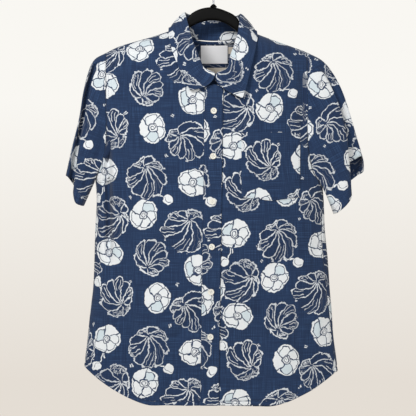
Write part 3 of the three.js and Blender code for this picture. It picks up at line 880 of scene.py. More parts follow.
def bud(tree, place):
    """A small round bud on a bent stalk."""
    x, y, turn, radius, _ = nearest(tree, place, BUDS)
    white = radius.within(BUD_RADIUS, 0.4)
    crescent = ((x + 3.5) ** 2.0 + y ** 2.0) ** 0.5
    lines = (crescent - 8.2).size().within(0.5) * x.beyond(0.0)
    bend = 26.0
    from_middle = ((x - bend) ** 2.0 + (y + 4.0) ** 2.0) ** 0.5
    stalk = (from_middle - bend).size().within(1.0, 0.4) * y.within(-BUD_RADIUS - 1.0) * y.beyond(-30.0)
    side = (x * 0.8 + y + 21.0).size().within(1.1, 0.4) * x.beyond(1.0) * x.within(12.0)
    clear = radius.within(BUD_RADIUS + 2.0, 0.5)
    return white.high((stalk * x.within(12.0)).high(side)), lines, clear


def ticks(tree, place):
    x, y, _, _, _ = nearest(tree, place, TICKS)
    strokes = ((x.size() - 1.7).size() - 0.9).high(y.size() - 2.6)
    return strokes.within(0.0, 0.5)


def print_group():
    """The printed pattern and the cotton under it, from a place on the flat cloth in metres."""
    tree = bpy.data.node_groups.new("printed_cotton", "ShaderNodeTree")
    for name, kind, way in (
        ("Place", "NodeSocketVector", "INPUT"),
        ("Colour", "NodeSocketColor", "OUTPUT"),
        ("Ink", "NodeSocketFloat", "OUTPUT"),
        ("Weave", "NodeSocketFloat", "OUTPUT"),
    ):
        tree.interface.new_socket(name=name, in_out=way, socket_type=kind)
    given = tree.nodes.new("NodeGroupInput").outputs["Place"]
    millimetres = vector_math(tree, "MULTIPLY", given, (1000.0, 1000.0, 0.0))
    wobble = noise(tree, millimetres, 0.07, 2.0).outputs["Color"]
    wobble = vector_math(tree, "SUBTRACT", wobble, (0.5, 0.5, 0.5))
    wobble = vector_math(tree, "MULTIPLY", wobble, (11.0, 11.0, 0.0))
    place = vector_math(tree, "ADD", millimetres, wobble)
    rough = (Number(tree, noise(tree, millimetres, 0.21, 1.0).outputs[0]) - 0.5) * 3.0

    petals, petal_lines, wash, petal_clear = blossom(tree, place, rough)
    drawn, leaf_inside, leaf_clear = leaf(tree, place, rough)
    buds, bud_lines, bud_clear = bud(tree, place)
    strokes = ticks(tree, place) * (-leaf_clear + 1.0) * (-bud_clear + 1.0)
    fading = (rough * 0.25 + 0.93).low(1.0)
    behind = drawn * (-bud_clear + 1.0) * fading
    behind = behind.high(buds * (-leaf_clear + 1.0).high(bud_clear)).high(strokes)
    ink = (behind * (-petal_clear + 1.0)).high(petals)
    lines = (petal_lines * petals).high(bud_lines * bud_clear * (-petal_clear + 1.0))
    solid_white = petals.high(buds)

    slub_across = noise(tree, vector_math(tree, "MULTIPLY", millimetres, (0.02, 1.1, 0.0)), 1.0, 3.0)
    slub_down = noise(tree, vector_math(tree, "MULTIPLY", millimetres, (1.1, 0.02, 0.0)), 1.0, 3.0)
    patches = noise(tree, millimetres, 0.012, 3.0).outputs[0]
    slub = Number(tree, slub_across.outputs[0]) + Number(tree, slub_down.outputs[0])
    thread = (slub - 0.78) * 2.2
    worn = (Number(tree, patches) - 0.35) * 1.6
    ground = mix_colour(tree, (thread * 0.5).high(0.0).low(1.0), NAVY_DARK, NAVY)
    ground = mix_colour(tree, (thread - 0.55).high(0.0).low(0.55), ground, NAVY_SLUB)
    ground = mix_colour(tree, worn.high(0.0).low(1.0) * 0.35, ground, NAVY)
    ground = mix_colour(tree, leaf_inside * (-petal_clear + 1.0) * 0.3, ground, LEAF_GROUND)
    print_colour = mix_colour(tree, solid_white, LEAF_WHITE, PRINT_WHITE)
    print_colour = mix_colour(tree, wash * petals, print_colour, PRINT_WASH)
    dry = (thread * -0.5 + 0.62).high(0.0).low(1.0) * 0.14
    cover = ink * (-lines + 1.0) * (-dry + 1.0)
    final = mix_colour(tree, cover, ground, print_colour)

    x, y, _ = split(tree, millimetres)
    yarn = 2 * math.pi / 0.55
    weave = (x * yarn).sin() * (y * yarn).sin() * 0.5 + slub * 0.6
    out = tree.nodes.new("NodeGroupOutput")
    put(tree, final, out.inputs["Colour"])
    put(tree, cover, out.inputs["Ink"])
    put(tree, weave, out.inputs["Weave"])
    return tree


def new_material(name):
    material = bpy.data.materials.new(name)
    material.use_nodes = True
    shader = material.node_tree.nodes["Principled BSDF"]
    return material, material.node_tree, shader


def bump(tree, shader, height, strength, distance):
    node = tree.nodes.new("ShaderNodeBump")
    node.inputs["Strength"].default_value = strength
    node.inputs["Distance"].default_value = distance
    put(tree, height, node.inputs["Height"])
    tree.links.new(node.outputs["Normal"], shader.inputs["Normal"])


def cotton(name, pattern, fade=0.0):
    """Printed cotton. The wrong side shows the print faded into the ground."""
    material, tree, shader = new_material(name)
    group = tree.nodes.new("ShaderNodeGroup")
    group.node_tree = pattern
    flat = tree.nodes.new("ShaderNodeUVMap")
    flat.uv_map = "flat"
    put(tree, flat.outputs[0], group.inputs["Place"])
    shown = group.outputs["Colour"]
    if fade:
        shown = mix_colour(tree, fade, shown, NAVY_DARK)
    put(tree, shown, shader.inputs["Base Color"])
    rough = Number(tree, group.outputs["Ink"]) * -0.06 + 0.88
    put(tree, rough, shader.inputs["Roughness"])
    shader.inputs["Specular IOR Level"].default_value = 0.28
    shader.inputs["Sheen Weight"].default_value = 0.12
    shader.inputs["Sheen Roughness"].default_value = 0.5
    bump(tree, shader, group.outputs["Weave"], 0.35, 0.00025)
    return material


def plain(name, base, roughness, grain, depth, metallic=0.0, mottle=0.05, coat=0.0, gloss=0.5):
    """A plain finish with fine grain and slight unevenness of colour, in the object's own space."""
    material, tree, shader = new_material(name)
    own = tree.nodes.new("ShaderNodeTexCoord").outputs["Object"]
    patches = Number(tree, noise(tree, own, 60.0, 3.0).outputs[0])
    fine = Number(tree, noise(tree, own, grain, 3.0).outputs[0])
    darker = tuple(c * (1 - mottle) for c in base[:3]) + (1.0,)
    put(tree, mix_colour(tree, (patches * 0.6 + fine * 0.4).low(1.0), darker, base), shader.inputs["Base Color"])
    put(tree, fine * 0.12 + (roughness - 0.06), shader.inputs["Roughness"])
    shader.inputs["Metallic"].default_value = metallic
    shader.inputs["Coat Weight"].default_value = coat
    shader.inputs["Specular IOR Level"].default_value = gloss
    bump(tree, shader, fine, 0.25, depth)
    return material


PATTERN = print_group()
PRINTED = cotton("printed_cotton_face", PATTERN)
WRONG_SIDE = cotton("printed_cotton_wrong_side", PATTERN, fade=0.78)
THREAD = plain("sewing_thread", colour(58, 80, 120), 0.6, 3000.0, 0.0001)
CREAM_THREAD = plain("button_thread", colour(222, 220, 210), 0.6, 3000.0, 0.0001)
CREAM_BUTTON = plain("cream_button", colour(243, 241, 232), 0.3, 900.0, 0.00003, coat=0.3)
WHITE_SATIN = plain("white_label_satin", colour(250, 250, 252), 0.5, 2500.0, 0.0001, mottle=0.02)
BEIGE_TAPE = plain("beige_label_tape", colour(214, 204, 190), 0.75, 2500.0, 0.0001)
BLACK_PLASTIC = plain("black_hanger_plastic", colour(5, 5, 5), 0.5, 700.0, 0.00004, mottle=0.2, gloss=0.1)
STEEL_WIRE = plain("bright_hook_wire", colour(196, 198, 202), 0.24, 900.0, 0.00003, metallic=1.0)


# Meshes


def grid_piece(name, points, flat, inside, joined=False):
    """A grid of points as a mesh, with its flat cloth as the UV map."""
    rows, columns = points.shape[:2]
    bm = bmesh.new()
    layer = bm.loops.layers.uv.new("flat")
    bmesh.ops.create_grid(bm, x_segments=columns - 1, y_segments=rows - 1, size=1)
    bm.verts.ensure_lookup_table()
    places = points.reshape(-1, 3) * MM
    flats = flat.reshape(-1, 2) * MM
    index = {}
    for vertex in bm.verts:
        column = round((vertex.co.x + 1) / 2 * (columns - 1))
        row = round((vertex.co.y + 1) / 2 * (rows - 1))
        index[vertex.index] = row * columns + column
    for vertex in bm.verts:
        vertex.co = places[index[vertex.index]]
    for face in bm.faces:
        face.smooth = True
        for loop in face.loops:
            loop[layer].uv = flats[index[loop.vert.index]]
    if joined:
        bmesh.ops.remove_doubles(bm, verts=bm.verts[:], dist=1e-6)
    bm.normal_update()
    heart = Vector(inside) * MM
    outward = sum(face.calc_area() * face.normal.dot(face.calc_center_median() - heart) for face in bm.faces)
    if outward < 0:
        bmesh.ops.reverse_faces(bm, faces=bm.faces[:])
    return finished(name, bm)


def finished(name, bm):
    mesh = bpy.data.meshes.new(name)
    bm.to_mesh(mesh)
    bm.free()
    piece = bpy.data.objects.new(name, mesh)
    bpy.context.scene.collection.objects.link(piece)
    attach(piece, "root")
    return piece


def solid(piece, thickness, wrong_side=False):
    ply = piece.modifiers.new("ply", "SOLIDIFY")
    ply.thickness = thickness * MM
    ply.offset = -1
    ply.use_rim = True
    ply.material_offset = 1 if wrong_side else 0
    ply.material_offset_rim = 0


def rounded(piece, width, segments=2):
    edge = piece.modifiers.new("edge", "BEVEL")
    edge.width = width * MM
    edge.segments = segments
    edge.limit_method = "ANGLE"
    edge.angle_limit = math.radians(50)


def cloth_piece(name, points, flat, inside, node, thickness=CLOTH, joined=False, edge=0.0, shift=(0, 0)):
    """A cut piece of the printed cloth. Its own shift of the flat cloth makes the seams cut the
    print, as they do on a sewn shirt."""
    piece = grid_piece(name + "_cloth", points, flat + np.array(shift), inside, joined)
    piece.data.materials.append(PRINTED)
    piece.data.materials.append(PRINTED if edge else WRONG_SIDE)
    solid(piece, thickness, wrong_side=True)
    if edge:
        rounded(piece, edge)
    if node:
        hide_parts(node)
    hang(flat)
    return piece


def flat_area(flat):
    """The flat cloth's area in square millimetres, cell by cell."""
    a = flat[1:, 1:] - flat[:-1, :-1]
    b = flat[1:, :-1] - flat[:-1, 1:]
    return float(np.abs(a[..., 0] * b[..., 1] - a[..., 1] * b[..., 0]).sum() / 2)


def hang(flat):
    """Works out the area of a piece's flat cloth in square metres, and keeps nothing of it."""
    flat_area(flat) * MM * MM


def make_panels():
    made = {}
    right, right_flat = panel("right", "front", lambda height: band_centre(height) + UNDERLAP)
    seam = BAND_WIDTH / 2 + SEAM_GAP
    left, left_flat = panel("left", "front", lambda height: band_centre(height) + seam)
    back_right, back_right_flat = panel("right", "back", lambda height: np.zeros(np.shape(height)))
    back_left, back_left_flat = panel("left", "back", lambda height: np.zeros(np.shape(height)))
    back = np.concatenate([back_right, back_left[:, ::-1][:, 1:]], axis=1)
    back_flat = np.concatenate([back_right_flat, back_left_flat[:, ::-1][:, 1:]], axis=1)
    made["right_front"] = (right, right_flat, (0, 0))
    made["left_front"] = (left, left_flat, (47, 118))
    made["back"] = (back, back_flat, (40, 241))
    for name, (points, flat, shift) in made.items():
        folded, folded_flat = turned_in(
            points, flat, BODY_MIDDLE, foot=HEM_DEPTH, top=SEAM_ALLOWANCE, sides=SEAM_ALLOWANCE)
        cloth_piece(name, folded, folded_flat, BODY_MIDDLE, name, shift=shift)
    return made


SLEEVE_RINGS = 56
SLEEVE_DOWN = np.concatenate([np.linspace(0, 0.35, 60)[:-1], np.linspace(0.35, 1, 56)])


def sleeve_flat(points, out, front_columns):
    """A sleeve's flat cloth: along its length, and across it from the underarm over the front's
    crease to the outer edge and on round the back."""
    first, last = points[0].mean(axis=0), points[-1].mean(axis=0)
    down = unit((last - first) * (1, 0, 1))
    inward = np.array([down[2], 0, -down[0]])
    inward *= -out * np.sign(inward[0])
    across, along = points @ inward, points @ down
    steps = np.hypot(np.diff(across, axis=1), np.diff(points[..., 1], axis=1))
    crease = front_columns - 1 - int(np.searchsorted(SLEEVE_DOWN, FOLD_SHARE))
    top = front_columns - 1
    place = across.copy()
    for k in range(crease + 1, top + 1):
        place[:, k] = place[:, k - 1] - steps[:, k - 1]
    place[:, top + 1:] = place[:, [top]] - (across[:, top + 1:] - across[:, [top]])
    return np.stack([place * -out, -along], axis=-1)


def sleeve(side):
    """A sleeve as rings from the armhole to the hem, each from the underarm over the front to the
    top and down the back."""
    out = SIDES[side]
    pit = ARMPIT[side]
    top = float(shoulder_height(ARMHOLES[side][-1]))
    along = np.linspace(0, 1, SLEEVE_RINGS + 1)[:, None]
    lines = SLEEVE_LINES[side]
    fronts = CUFFS[side, "front"]

    def start(face, share):
        height = mix(top, pit, share)
        point = body_point(edge_angle(side, face, height), height)
        point[..., 0] += out * mix(SEAM_GAP * 1.5, 1.6, share**4)
        point[..., 2] -= share**6
        return point

    def shift(share_at, from_point, x_name, height_name):
        ends = [float(read(fronts, "share", name, share_at)) for name in ("x", "height")]
        moved = []
        for column, first, last in ((x_name, from_point[0], ends[0]), (height_name, from_point[2], ends[1])):
            rows = {
                "along": np.concatenate([[0], lines["along"], [1]]),
                "value": np.concatenate([[first], lines[column], [last]]),
            }
            moved.append(read(rows, "along", "value", along) - mix(first, last, along))
        return moved

    def from_edge(share):
        height = mix(top, pit, share)
        return body_point(edge_angle(side, "front", np.array(height)), np.array(height))

    outer = shift(0, from_edge(0.0), "outer_x", "outer_height")
    fold = shift(FOLD_SHARE, from_edge(FOLD_SHARE), "fold_x", "fold_height")

    def half(face, share):
        cuff = CUFFS[side, face]
        end = np.stack([read(cuff, "share", name, share) for name in ("x", "y", "height")], axis=-1)
        points = mix(start(face, share)[None], end[None], along[..., None])
        to_fold = np.clip(share / FOLD_SHARE, 0, 1)
        to_under = smooth((share - FOLD_SHARE) / (1 - FOLD_SHARE))
        points[..., 0] += mix(mix(outer[0], fold[0], to_fold), 0, to_under)
        points[..., 2] += mix(mix(outer[1], fold[1], to_fold), 0, to_under)
        if face == "front":
            crease = smooth((share - CREASE_FROM) / CREASE_STEP) * smooth((CREASE_TO - share) / 0.06)
            points[..., 1] += CREASE_DEPTH[side] * crease * smooth(along * 5)
        return points

    down = SLEEVE_DOWN
    points = np.concatenate([half("front", down[::-1]), half("back", down[1:])], axis=1)
    return points, sleeve_flat(points, out, len(down))


def make_sleeves():
    made = {}
    for side, shift in (("right", (30, 275)), ("left", (190, 40))):
        points, flat = sleeve(side)
        inside = points.reshape(-1, 3).mean(axis=0)
        name = "sleeve_" + side
        made[name] = (points, flat, inside)
        folded, folded_flat = turned_in(points, flat, inside, foot=HEM_DEPTH, top=SEAM_ALLOWANCE)
        cloth_piece(name, folded, folded_flat, inside, name, joined=True, shift=shift)
    return made


def strip(left_x, right_x, top, foot, columns, rows, out):
    """A flat strip laid on the front, from named edges that may change with the height."""
    across = np.linspace(0, 1, columns + 1)[None, :]
    down = np.linspace(0, 1, rows + 1)[:, None]
    height = mix(top(across), foot(across), down)
    x = mix(left_x(height), right_x(height), across)
    return front_point(x, height, out), flat_place(angle_at(x, height), height)


def band_edge(across):
    return lambda height: band_centre(height) + across * BAND_WIDTH / 2


def make_band():
    def top(across):
        return BAND_TOP - BAND_TOP_ROUND * (across * 2 - 1) ** 2

    def foot(across):
        return hem_height(band_centre(BAND_TOP) + (across * 2 - 1) * BAND_WIDTH / 2, "front")

    points, flat = strip(band_edge(-1), band_edge(1), top, foot, 24, 240, LAYER_GAP + BAND_PLY)
    cloth_piece("placket", points, flat, BODY_MIDDLE, "placket", BAND_PLY - 0.2, edge=0.6, shift=(211, 4))
    return points, flat


def make_pocket():
    def top(across):
        return np.full(np.shape(across), float(POCKET["top"]))

    def foot(across):
        return POCKET["foot"] - POCKET["point"] * (1 - np.abs(2 * across - 1))

    points, flat = strip(
        lambda height: np.full(np.shape(height), float(POCKET["left"])),
        lambda height: np.full(np.shape(height), float(POCKET["right"])),
        top, foot, 60, 64, LAYER_GAP + WALL)
    cloth_piece("pocket", points, flat, BODY_MIDDLE, "pocket", WALL - 0.2, edge=0.35, shift=(5, 60))
    return points, flat


# The collar

FRONT_END_TURN = 1.52
COLLAR_PRINT = (70, 240)
STAND_END = table(
    ("x", "top", "foot", "y"),
    (-22, -187, -212, -48),
    (-12.7, -192.9, -213, -49.5),
    (3.2, -200.4, -213.6, -51.5),
    (14, -201, -213.5, -51),
    (23.9, -200.4, -213, -50),
    (32, -196, -212, -48),
)


def neck_height(x, drop):
    share = np.sqrt(1 - np.clip(np.abs(x) / NECK_HALF_WIDTH, 0, 1) ** 2)
    return mix(shoulder_height(np.sign(x) * NECK_HALF_WIDTH), NECK_POINT - drop, share)


def neck_stations(front_steps=46, back_steps=34):
    """Places along the neckline from the right front round the back to the left front: the side,
    the angle round the neck, and the foot of the collar stand there."""
    sides, angles, feet = [], [], []
    front = np.linspace(FRONT_END_TURN, 0, front_steps)
    rear = np.linspace(0, math.pi / 2, back_steps)[1:]
    runs = (
        ("right", "front", front),
        ("right", "back", rear),
        ("left", "back", rear[::-1][1:]),
        ("left", "front", front[::-1]),
    )
    for side, face, turn in runs:
        out = SIDES[side]
        sign = 1 if face == "front" else -1
        whole = FRONT_END_TURN if face == "front" else math.pi / 2
        start = shoulder_height(out * NECK_HALF_WIDTH)
        x = out * NECK_HALF_WIDTH * np.cos(turn)
        height = mix(start, NECK_POINT - NECK_DROP[face], np.sin(turn))
        inward = np.stack(
            [-out * np.cos(turn) / NECK_HALF_WIDTH, 0 * turn, np.sin(turn) / NECK_DROP[face]], axis=-1)
        inward /= np.linalg.norm(inward, axis=-1, keepdims=True)
        foot = body_point(sign * angle_at(x, height), height, -WALL - LAYER_GAP)
        sides += [side] * len(turn)
        angles.append(90 + sign * turn / whole * 90)
        feet.append(foot + inward * STAND_INSET)
    return np.array(sides), np.concatenate(angles), np.concatenate(feet)


def collar_line(sides, angles, name):
    points = np.zeros((len(angles), 3))
    for side in SIDES:
        here = sides == side
        for axis, letter in enumerate("xyz"):
            points[here, axis] = read(COLLAR[side], "angle", f"{name}_{letter}", angles[here])
    return points


def lifted(points, lift):
    """Keeps the collar's leaves outside the body's surface, where there is cloth below them."""
    x, y, z = points[..., 0], points[..., 1], points[..., 2]
    neck = np.where(y < 0, neck_height(x, NECK_DROP["front"]), neck_height(x, NECK_DROP["back"]))
    open_neck = (np.abs(x) < NECK_HALF_WIDTH) & (z > neck)
    shoulder = shoulder_height(x)
    over = z > shoulder - 1
    front_y = front_point(x, z, lift)[..., 1]
    back_y = back_point(x, z, lift)[..., 1]
    new_y = np.where(y <= 0, np.minimum(y, front_y), np.maximum(y, back_y))
    points[..., 2] = np.where(over & ~open_neck, np.maximum(z, shoulder + lift), z)
    points[..., 1] = np.where(~over & ~open_neck, new_y, y)
    return points


def make_collar():
    sides, angles, feet = neck_stations()
    roll = collar_line(sides, angles, "roll")
    edge = collar_line(sides, angles, "edge")
    top = roll + unit(feet - roll) * ROLL_RADIUS
    turn = np.radians(angles)
    out = np.where(sides == "right", -1, 1)
    away = np.stack([out * np.sin(turn), np.cos(turn), 0 * turn], axis=-1)
    up = unit(roll - top)
    neck = (0, 0, -110)
    length = np.concatenate([[0], np.cumsum(np.linalg.norm(np.diff(edge, axis=0), axis=-1))])
    length -= length[-1] / 2

    share = np.linspace(0, 1, 15)[:, None, None]
    round_neck = angles < STAND_ENDS
    stand = mix(top[None], feet[None], share)[:, round_neck]
    stand_drop = np.linalg.norm(feet - top, axis=-1)
    around = np.concatenate([[0], np.cumsum(np.linalg.norm(np.diff((top + feet) / 2, axis=0), axis=-1))])
    around -= around[-1] / 2
    stand_flat = np.stack(np.broadcast_arrays(around[None], -share[..., 0] * stand_drop[None]), axis=-1)
    stand_flat = stand_flat[:, round_neck]
    cloth_piece("collar_stand", stand, stand_flat, neck, "collar_stand", WALL - 0.2, edge=0.3, shift=(12, 205))

    first = top + up * ROLL_GAP
    peak = roll + away * ROLL_WIDTH * 0.4
    last = roll + away * ROLL_WIDTH - up * ROLL_RADIUS
    control = 2 * peak - (first + last) / 2
    t = np.linspace(0, 1, 12)[:, None, None]
    over = (1 - t) ** 2 * first + 2 * t * (1 - t) * control + t**2 * last
    t = np.linspace(0, 1, 46)[1:, None, None]
    leaf_part = mix(last[None], edge[None], t) + away[None] * np.sin(math.pi * t) * LEAF_BULGE
    bow = np.array([FRONT_BOW[side] for side in sides])
    leaf_part += bow * smooth((angles - BOW_FROM) / (180 - BOW_FROM))[None, :, None] * 2 * t * (1 - t)
    leaf_part = lifted(leaf_part, FALL_LIFT + WALL)
    fall = np.concatenate([over, leaf_part])
    steps = np.linalg.norm(np.diff(fall, axis=0), axis=-1)
    drop = np.concatenate([np.zeros((1, fall.shape[1])), np.cumsum(steps, axis=0)])
    fall_flat = np.stack(np.broadcast_arrays(length[None], -drop), axis=-1)
    cloth_piece("collar_fall", fall, fall_flat, neck, "collar_fall", 1.5, edge=0.5, shift=COLLAR_PRINT)
    return fall, fall_flat


def make_stand_ends():
    """The stand's front ends, buttoned over each other behind the leaves, as one strip that
    closes the foot of the neck's opening."""
    x = np.linspace(STAND_END["x"][0], STAND_END["x"][-1], 41)[None, :]
    down = np.linspace(0, 1, 13)[:, None]
    height = mix(read(STAND_END, "x", "top", x), read(STAND_END, "x", "foot", x), down)
    x = np.broadcast_to(x, height.shape)
    depth = read(STAND_END, "x", "y", x) + 1.5 * np.sin(math.pi * down)
    points = np.stack([x, depth, height], axis=-1)
    flat = np.stack([x, height], axis=-1)
    cloth_piece("collar_stand_ends", points, flat, (0, 200, -200), None, WALL - 0.2, edge=0.3, shift=(150, 330))


def make_label(name, material):
    """A bare patch on the inside of the back."""
    low, high = (np.array(corner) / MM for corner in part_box(name))
    x = np.linspace(low[0], high[0], 25)[None, :]
    height = np.linspace(high[2], low[2], 17)[:, None]
    x, height = np.broadcast_arrays(x, height)
    points = back_point(x, height, -WALL - LAYER_GAP - LABEL_PLY)
    flat = np.stack([x, height], axis=-1)
    piece = grid_piece(name + "_cloth", points, flat, (0, 200, -170))
    piece.data.materials.append(material)
    solid(piece, LABEL_PLY - 0.4)
    rounded(piece, 0.25)
    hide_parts(name)


# Buttons and thread


def ring(bm, centre, radius, count):
    made = bmesh.ops.create_circle(
        bm, segments=count, radius=radius * MM, matrix=Matrix.Translation(Vector(centre) * MM))
    return made["verts"]


def make_button(number, band):
    """A cream button with a rounded rim, a dished face and four holes, lying on the band."""
    name = f"button_{number}"
    low, high = (np.array(corner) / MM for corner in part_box(name))
    centre = (low + high) / 2
    radius = (high[0] - low[0]) / 2
    thick = high[1] - low[1]
    bm = bmesh.new()
    ring(bm, (0, 0, 0), radius * 0.8, 40)
    for x, y in ((1, 1), (-1, 1), (-1, -1), (1, -1)):
        ring(bm, (x * 1.5, y * 1.5, 0), 0.85, 14)
    bmesh.ops.triangle_fill(bm, use_beauty=True, use_dissolve=False, edges=bm.edges[:])
    plate = bmesh.ops.extrude_face_region(bm, geom=bm.faces[:])
    risen = [v for v in plate["geom"] if isinstance(v, bmesh.types.BMVert)]
    bmesh.ops.translate(bm, verts=risen, vec=(0, 0, thick * 0.55 * MM))
    profile = [(0.76, 0.02), (0.9, 0.0), (1.0, 0.25), (1.0, 0.62), (0.93, 0.95), (0.84, 1.0), (0.77, 0.8), (0.76, 0.5)]
    verts = [bm.verts.new((radius * share * MM, 0, thick * up * MM)) for share, up in profile]
    edges = [bm.edges.new(pair) for pair in zip(verts, verts[1:] + verts[:1])]
    bmesh.ops.spin(
        bm, geom=verts + edges, cent=(0, 0, 0), axis=(0, 0, 1), angle=2 * math.pi, steps=48, use_merge=True)
    bmesh.ops.recalc_face_normals(bm, faces=bm.faces[:])
    turn = Matrix.Rotation(math.pi / 2, 4, "X") @ Matrix.Rotation(0.35 * number, 4, "Z")
    place = Matrix.Translation(Vector((centre[0], high[1], centre[2])) * MM)
    bmesh.ops.transform(bm, matrix=place @ turn, verts=bm.verts[:])
    for face in bm.faces:
        face.smooth = True
    piece = finished(name + "_cream", bm)
    piece.data.materials.append(CREAM_BUTTON)
    rounded(piece, 0.18)
    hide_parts(name)

    bm = bmesh.new()
    for x in (-1.5, 1.5):
        for off in (-0.25, 0.25):
            path = [(x + off, -1.5, 0.4), (x + off, -1.3, 1.7), (x + off, 0, 2.05), (x + off, 1.3, 1.7), (x + off, 1.5, 0.4)]
            tube(bm, np.array(path, float), 0.28, 8, (1, 0, 0))
    bmesh.ops.transform(bm, matrix=place @ turn, verts=bm.verts[:])
    thread = finished(f"button_thread_{number}", bm)
    thread.data.materials.append(CREAM_THREAD)


def tube(bm, path, radius, around, square_to):
    """A closed tube of round section along a path in millimetres. The path lies in a plane, and
    square_to is the direction square to it."""
    ahead = unit(np.gradient(path, axis=0))
    side = np.array(square_to, float)
    up = np.cross(side, ahead)
    radius = np.broadcast_to(np.asarray(radius, float), len(path))
    made = bmesh.ops.create_grid(bm, x_segments=around, y_segments=len(path) - 1, size=1)["verts"]
    for vertex in made:
        turn = (vertex.co.x + 1) * math.pi
        i = round((vertex.co.y + 1) / 2 * (len(path) - 1))
        place = path[i] + radius[i] * (side * math.cos(turn) + up[i] * math.sin(turn))
        vertex.co = place * MM
    faces = {face for vertex in made for face in vertex.link_faces}
    for face in faces:
        face.smooth = True
    bmesh.ops.remove_doubles(bm, verts=made, dist=1e-7)
    kept = [v for face in faces if face.is_valid for v in face.verts]
    ends = {edge for v in kept for edge in v.link_edges if edge.is_boundary}
    bmesh.ops.holes_fill(bm, edges=list(ends), sides=around)
    bmesh.ops.recalc_face_normals(bm, faces=bm.faces[:])


def stitches(name, lines, length=2.5, gap=0.9, width=0.5, lift=0.1):
    """Rows of lockstitches as one piece. Each line is its points and their outward directions."""
    bm = bmesh.new()
    for points, outs in lines:
        steps = np.linalg.norm(np.diff(points, axis=0), axis=-1)
        travelled = np.concatenate([[0], np.cumsum(steps)])
        for at in np.arange(length / 2 + 0.4, travelled[-1] - length / 2, length + gap):
            place = [np.interp(at, travelled, points[:, k]) for k in range(3)]
            out = Vector([np.interp(at, travelled, outs[:, k]) for k in range(3)]).normalized()
            before = Vector([np.interp(at - 0.5, travelled, points[:, k]) for k in range(3)])
            after = Vector([np.interp(at + 0.5, travelled, points[:, k]) for k in range(3)])
            ahead = (after - before).normalized()
            side = out.cross(ahead).normalized()
            turn = Matrix((ahead, side, out)).transposed().to_4x4()
            stretch = Matrix.Diagonal((length / 2 * MM, width / 2 * MM, width / 2 * MM, 1))
            seat = Matrix.Translation((Vector(place) + out * lift) * MM)
            bmesh.ops.create_icosphere(bm, subdivisions=1, radius=1, matrix=seat @ turn @ stretch)
    for face in bm.faces:
        face.smooth = True
    piece = finished(name, bm)
    piece.data.materials.append(THREAD)
    return piece


def on_body(face, x, height, out=0.1):
    """A line on the front or the back, with its outward directions."""
    place = front_point if face == "front" else back_point
    across = place(x + 0.4, height, out) - place(x - 0.4, height, out)
    up = place(x, height + 0.4, out) - place(x, height - 0.4, out)
    outs = unit(np.cross(across, up))
    outs *= np.sign(outs[:, 1:2]) * (-1 if face == "front" else 1)
    return place(x, height, out), outs


def along_grid(made, row=None, column=None, trim=0):
    """A line along a row or a column of a piece's grid, with its outward directions."""
    points, inside = made[0], made[2]
    outs = normals(points, inside)
    line = (points[row], outs[row]) if row is not None else (points[:, column], outs[:, column])
    return tuple(values[trim:len(values) - trim] for values in line)


def make_stitching():
    hem_x = np.linspace(-240, 231, 400)
    halves = (hem_x[hem_x < band_centre(-820) - 19], hem_x[hem_x > band_centre(-820) + 19])
    hem = [on_body("front", x, hem_height(x, "front") + HEM_STITCH) for x in halves]
    hem.append(on_body("back", hem_x, hem_height(hem_x, "back") + HEM_STITCH))
    stitches("hem_stitches", hem)

    down = np.linspace(BAND_TOP - 9, HEM_LOW["front"] + 6, 320)
    lines = []
    for across in (-1, 1):
        x = band_centre(down) + across * (BAND_WIDTH / 2 - 3.5)
        lines.append(on_body("front", x, down, LAYER_GAP + BAND_PLY + 0.1))
    stitches("band_stitches", lines)

    left, right, top, foot, point = (POCKET[name] for name in ("left", "right", "top", "foot", "point"))
    side = np.linspace(top - 3, foot + 2, 60)
    x = np.linspace(left + 2.5, right - 2.5, 60)
    base = foot - point * (1 - np.abs(2 * (x - left) / (right - left) - 1)) + 2.5
    out = LAYER_GAP + WALL + 0.1
    lines = [on_body("front", np.full(60, left + 2.5), side, out), on_body("front", np.full(60, right - 2.5), side, out)]
    lines += [on_body("front", x, base, out), on_body("front", x, np.full(60, top - 19.0), out)]
    stitches("pocket_stitches", lines)

    lines = []
    for side_name in SIDES:
        height = np.linspace(-165, ARMPIT[side_name] + 22, 120)
        x = read(ARMHOLES, "height", side_name, height) - SIDES[side_name] * 5
        lines += [on_body("front", x, height), on_body("back", x, height)]
    stitches("armhole_stitches", lines)

    lines = []
    for name in sleeves:
        points = sleeves[name][0]
        drop = np.linalg.norm(points[-1] - points, axis=-1).mean(axis=1)
        lines.append(along_grid(sleeves[name], row=int(np.searchsorted(-drop, -CUFF_HEM))))
    stitches("sleeve_hem_stitches", lines)

    made = (fall[0], fall[1], (0, 0, -110))
    reach_in = np.linalg.norm(fall[0][-1] - fall[0], axis=-1).mean(axis=1)
    row = int(np.searchsorted(-reach_in, -COLLAR_STITCH))
    lines = [along_grid(made, row=row, trim=3)]
    lines += [tuple(v[14:row + 1] for v in along_grid(made, column=k)) for k in (3, -4)]
    stitches("collar_stitches", lines)


# The hanger


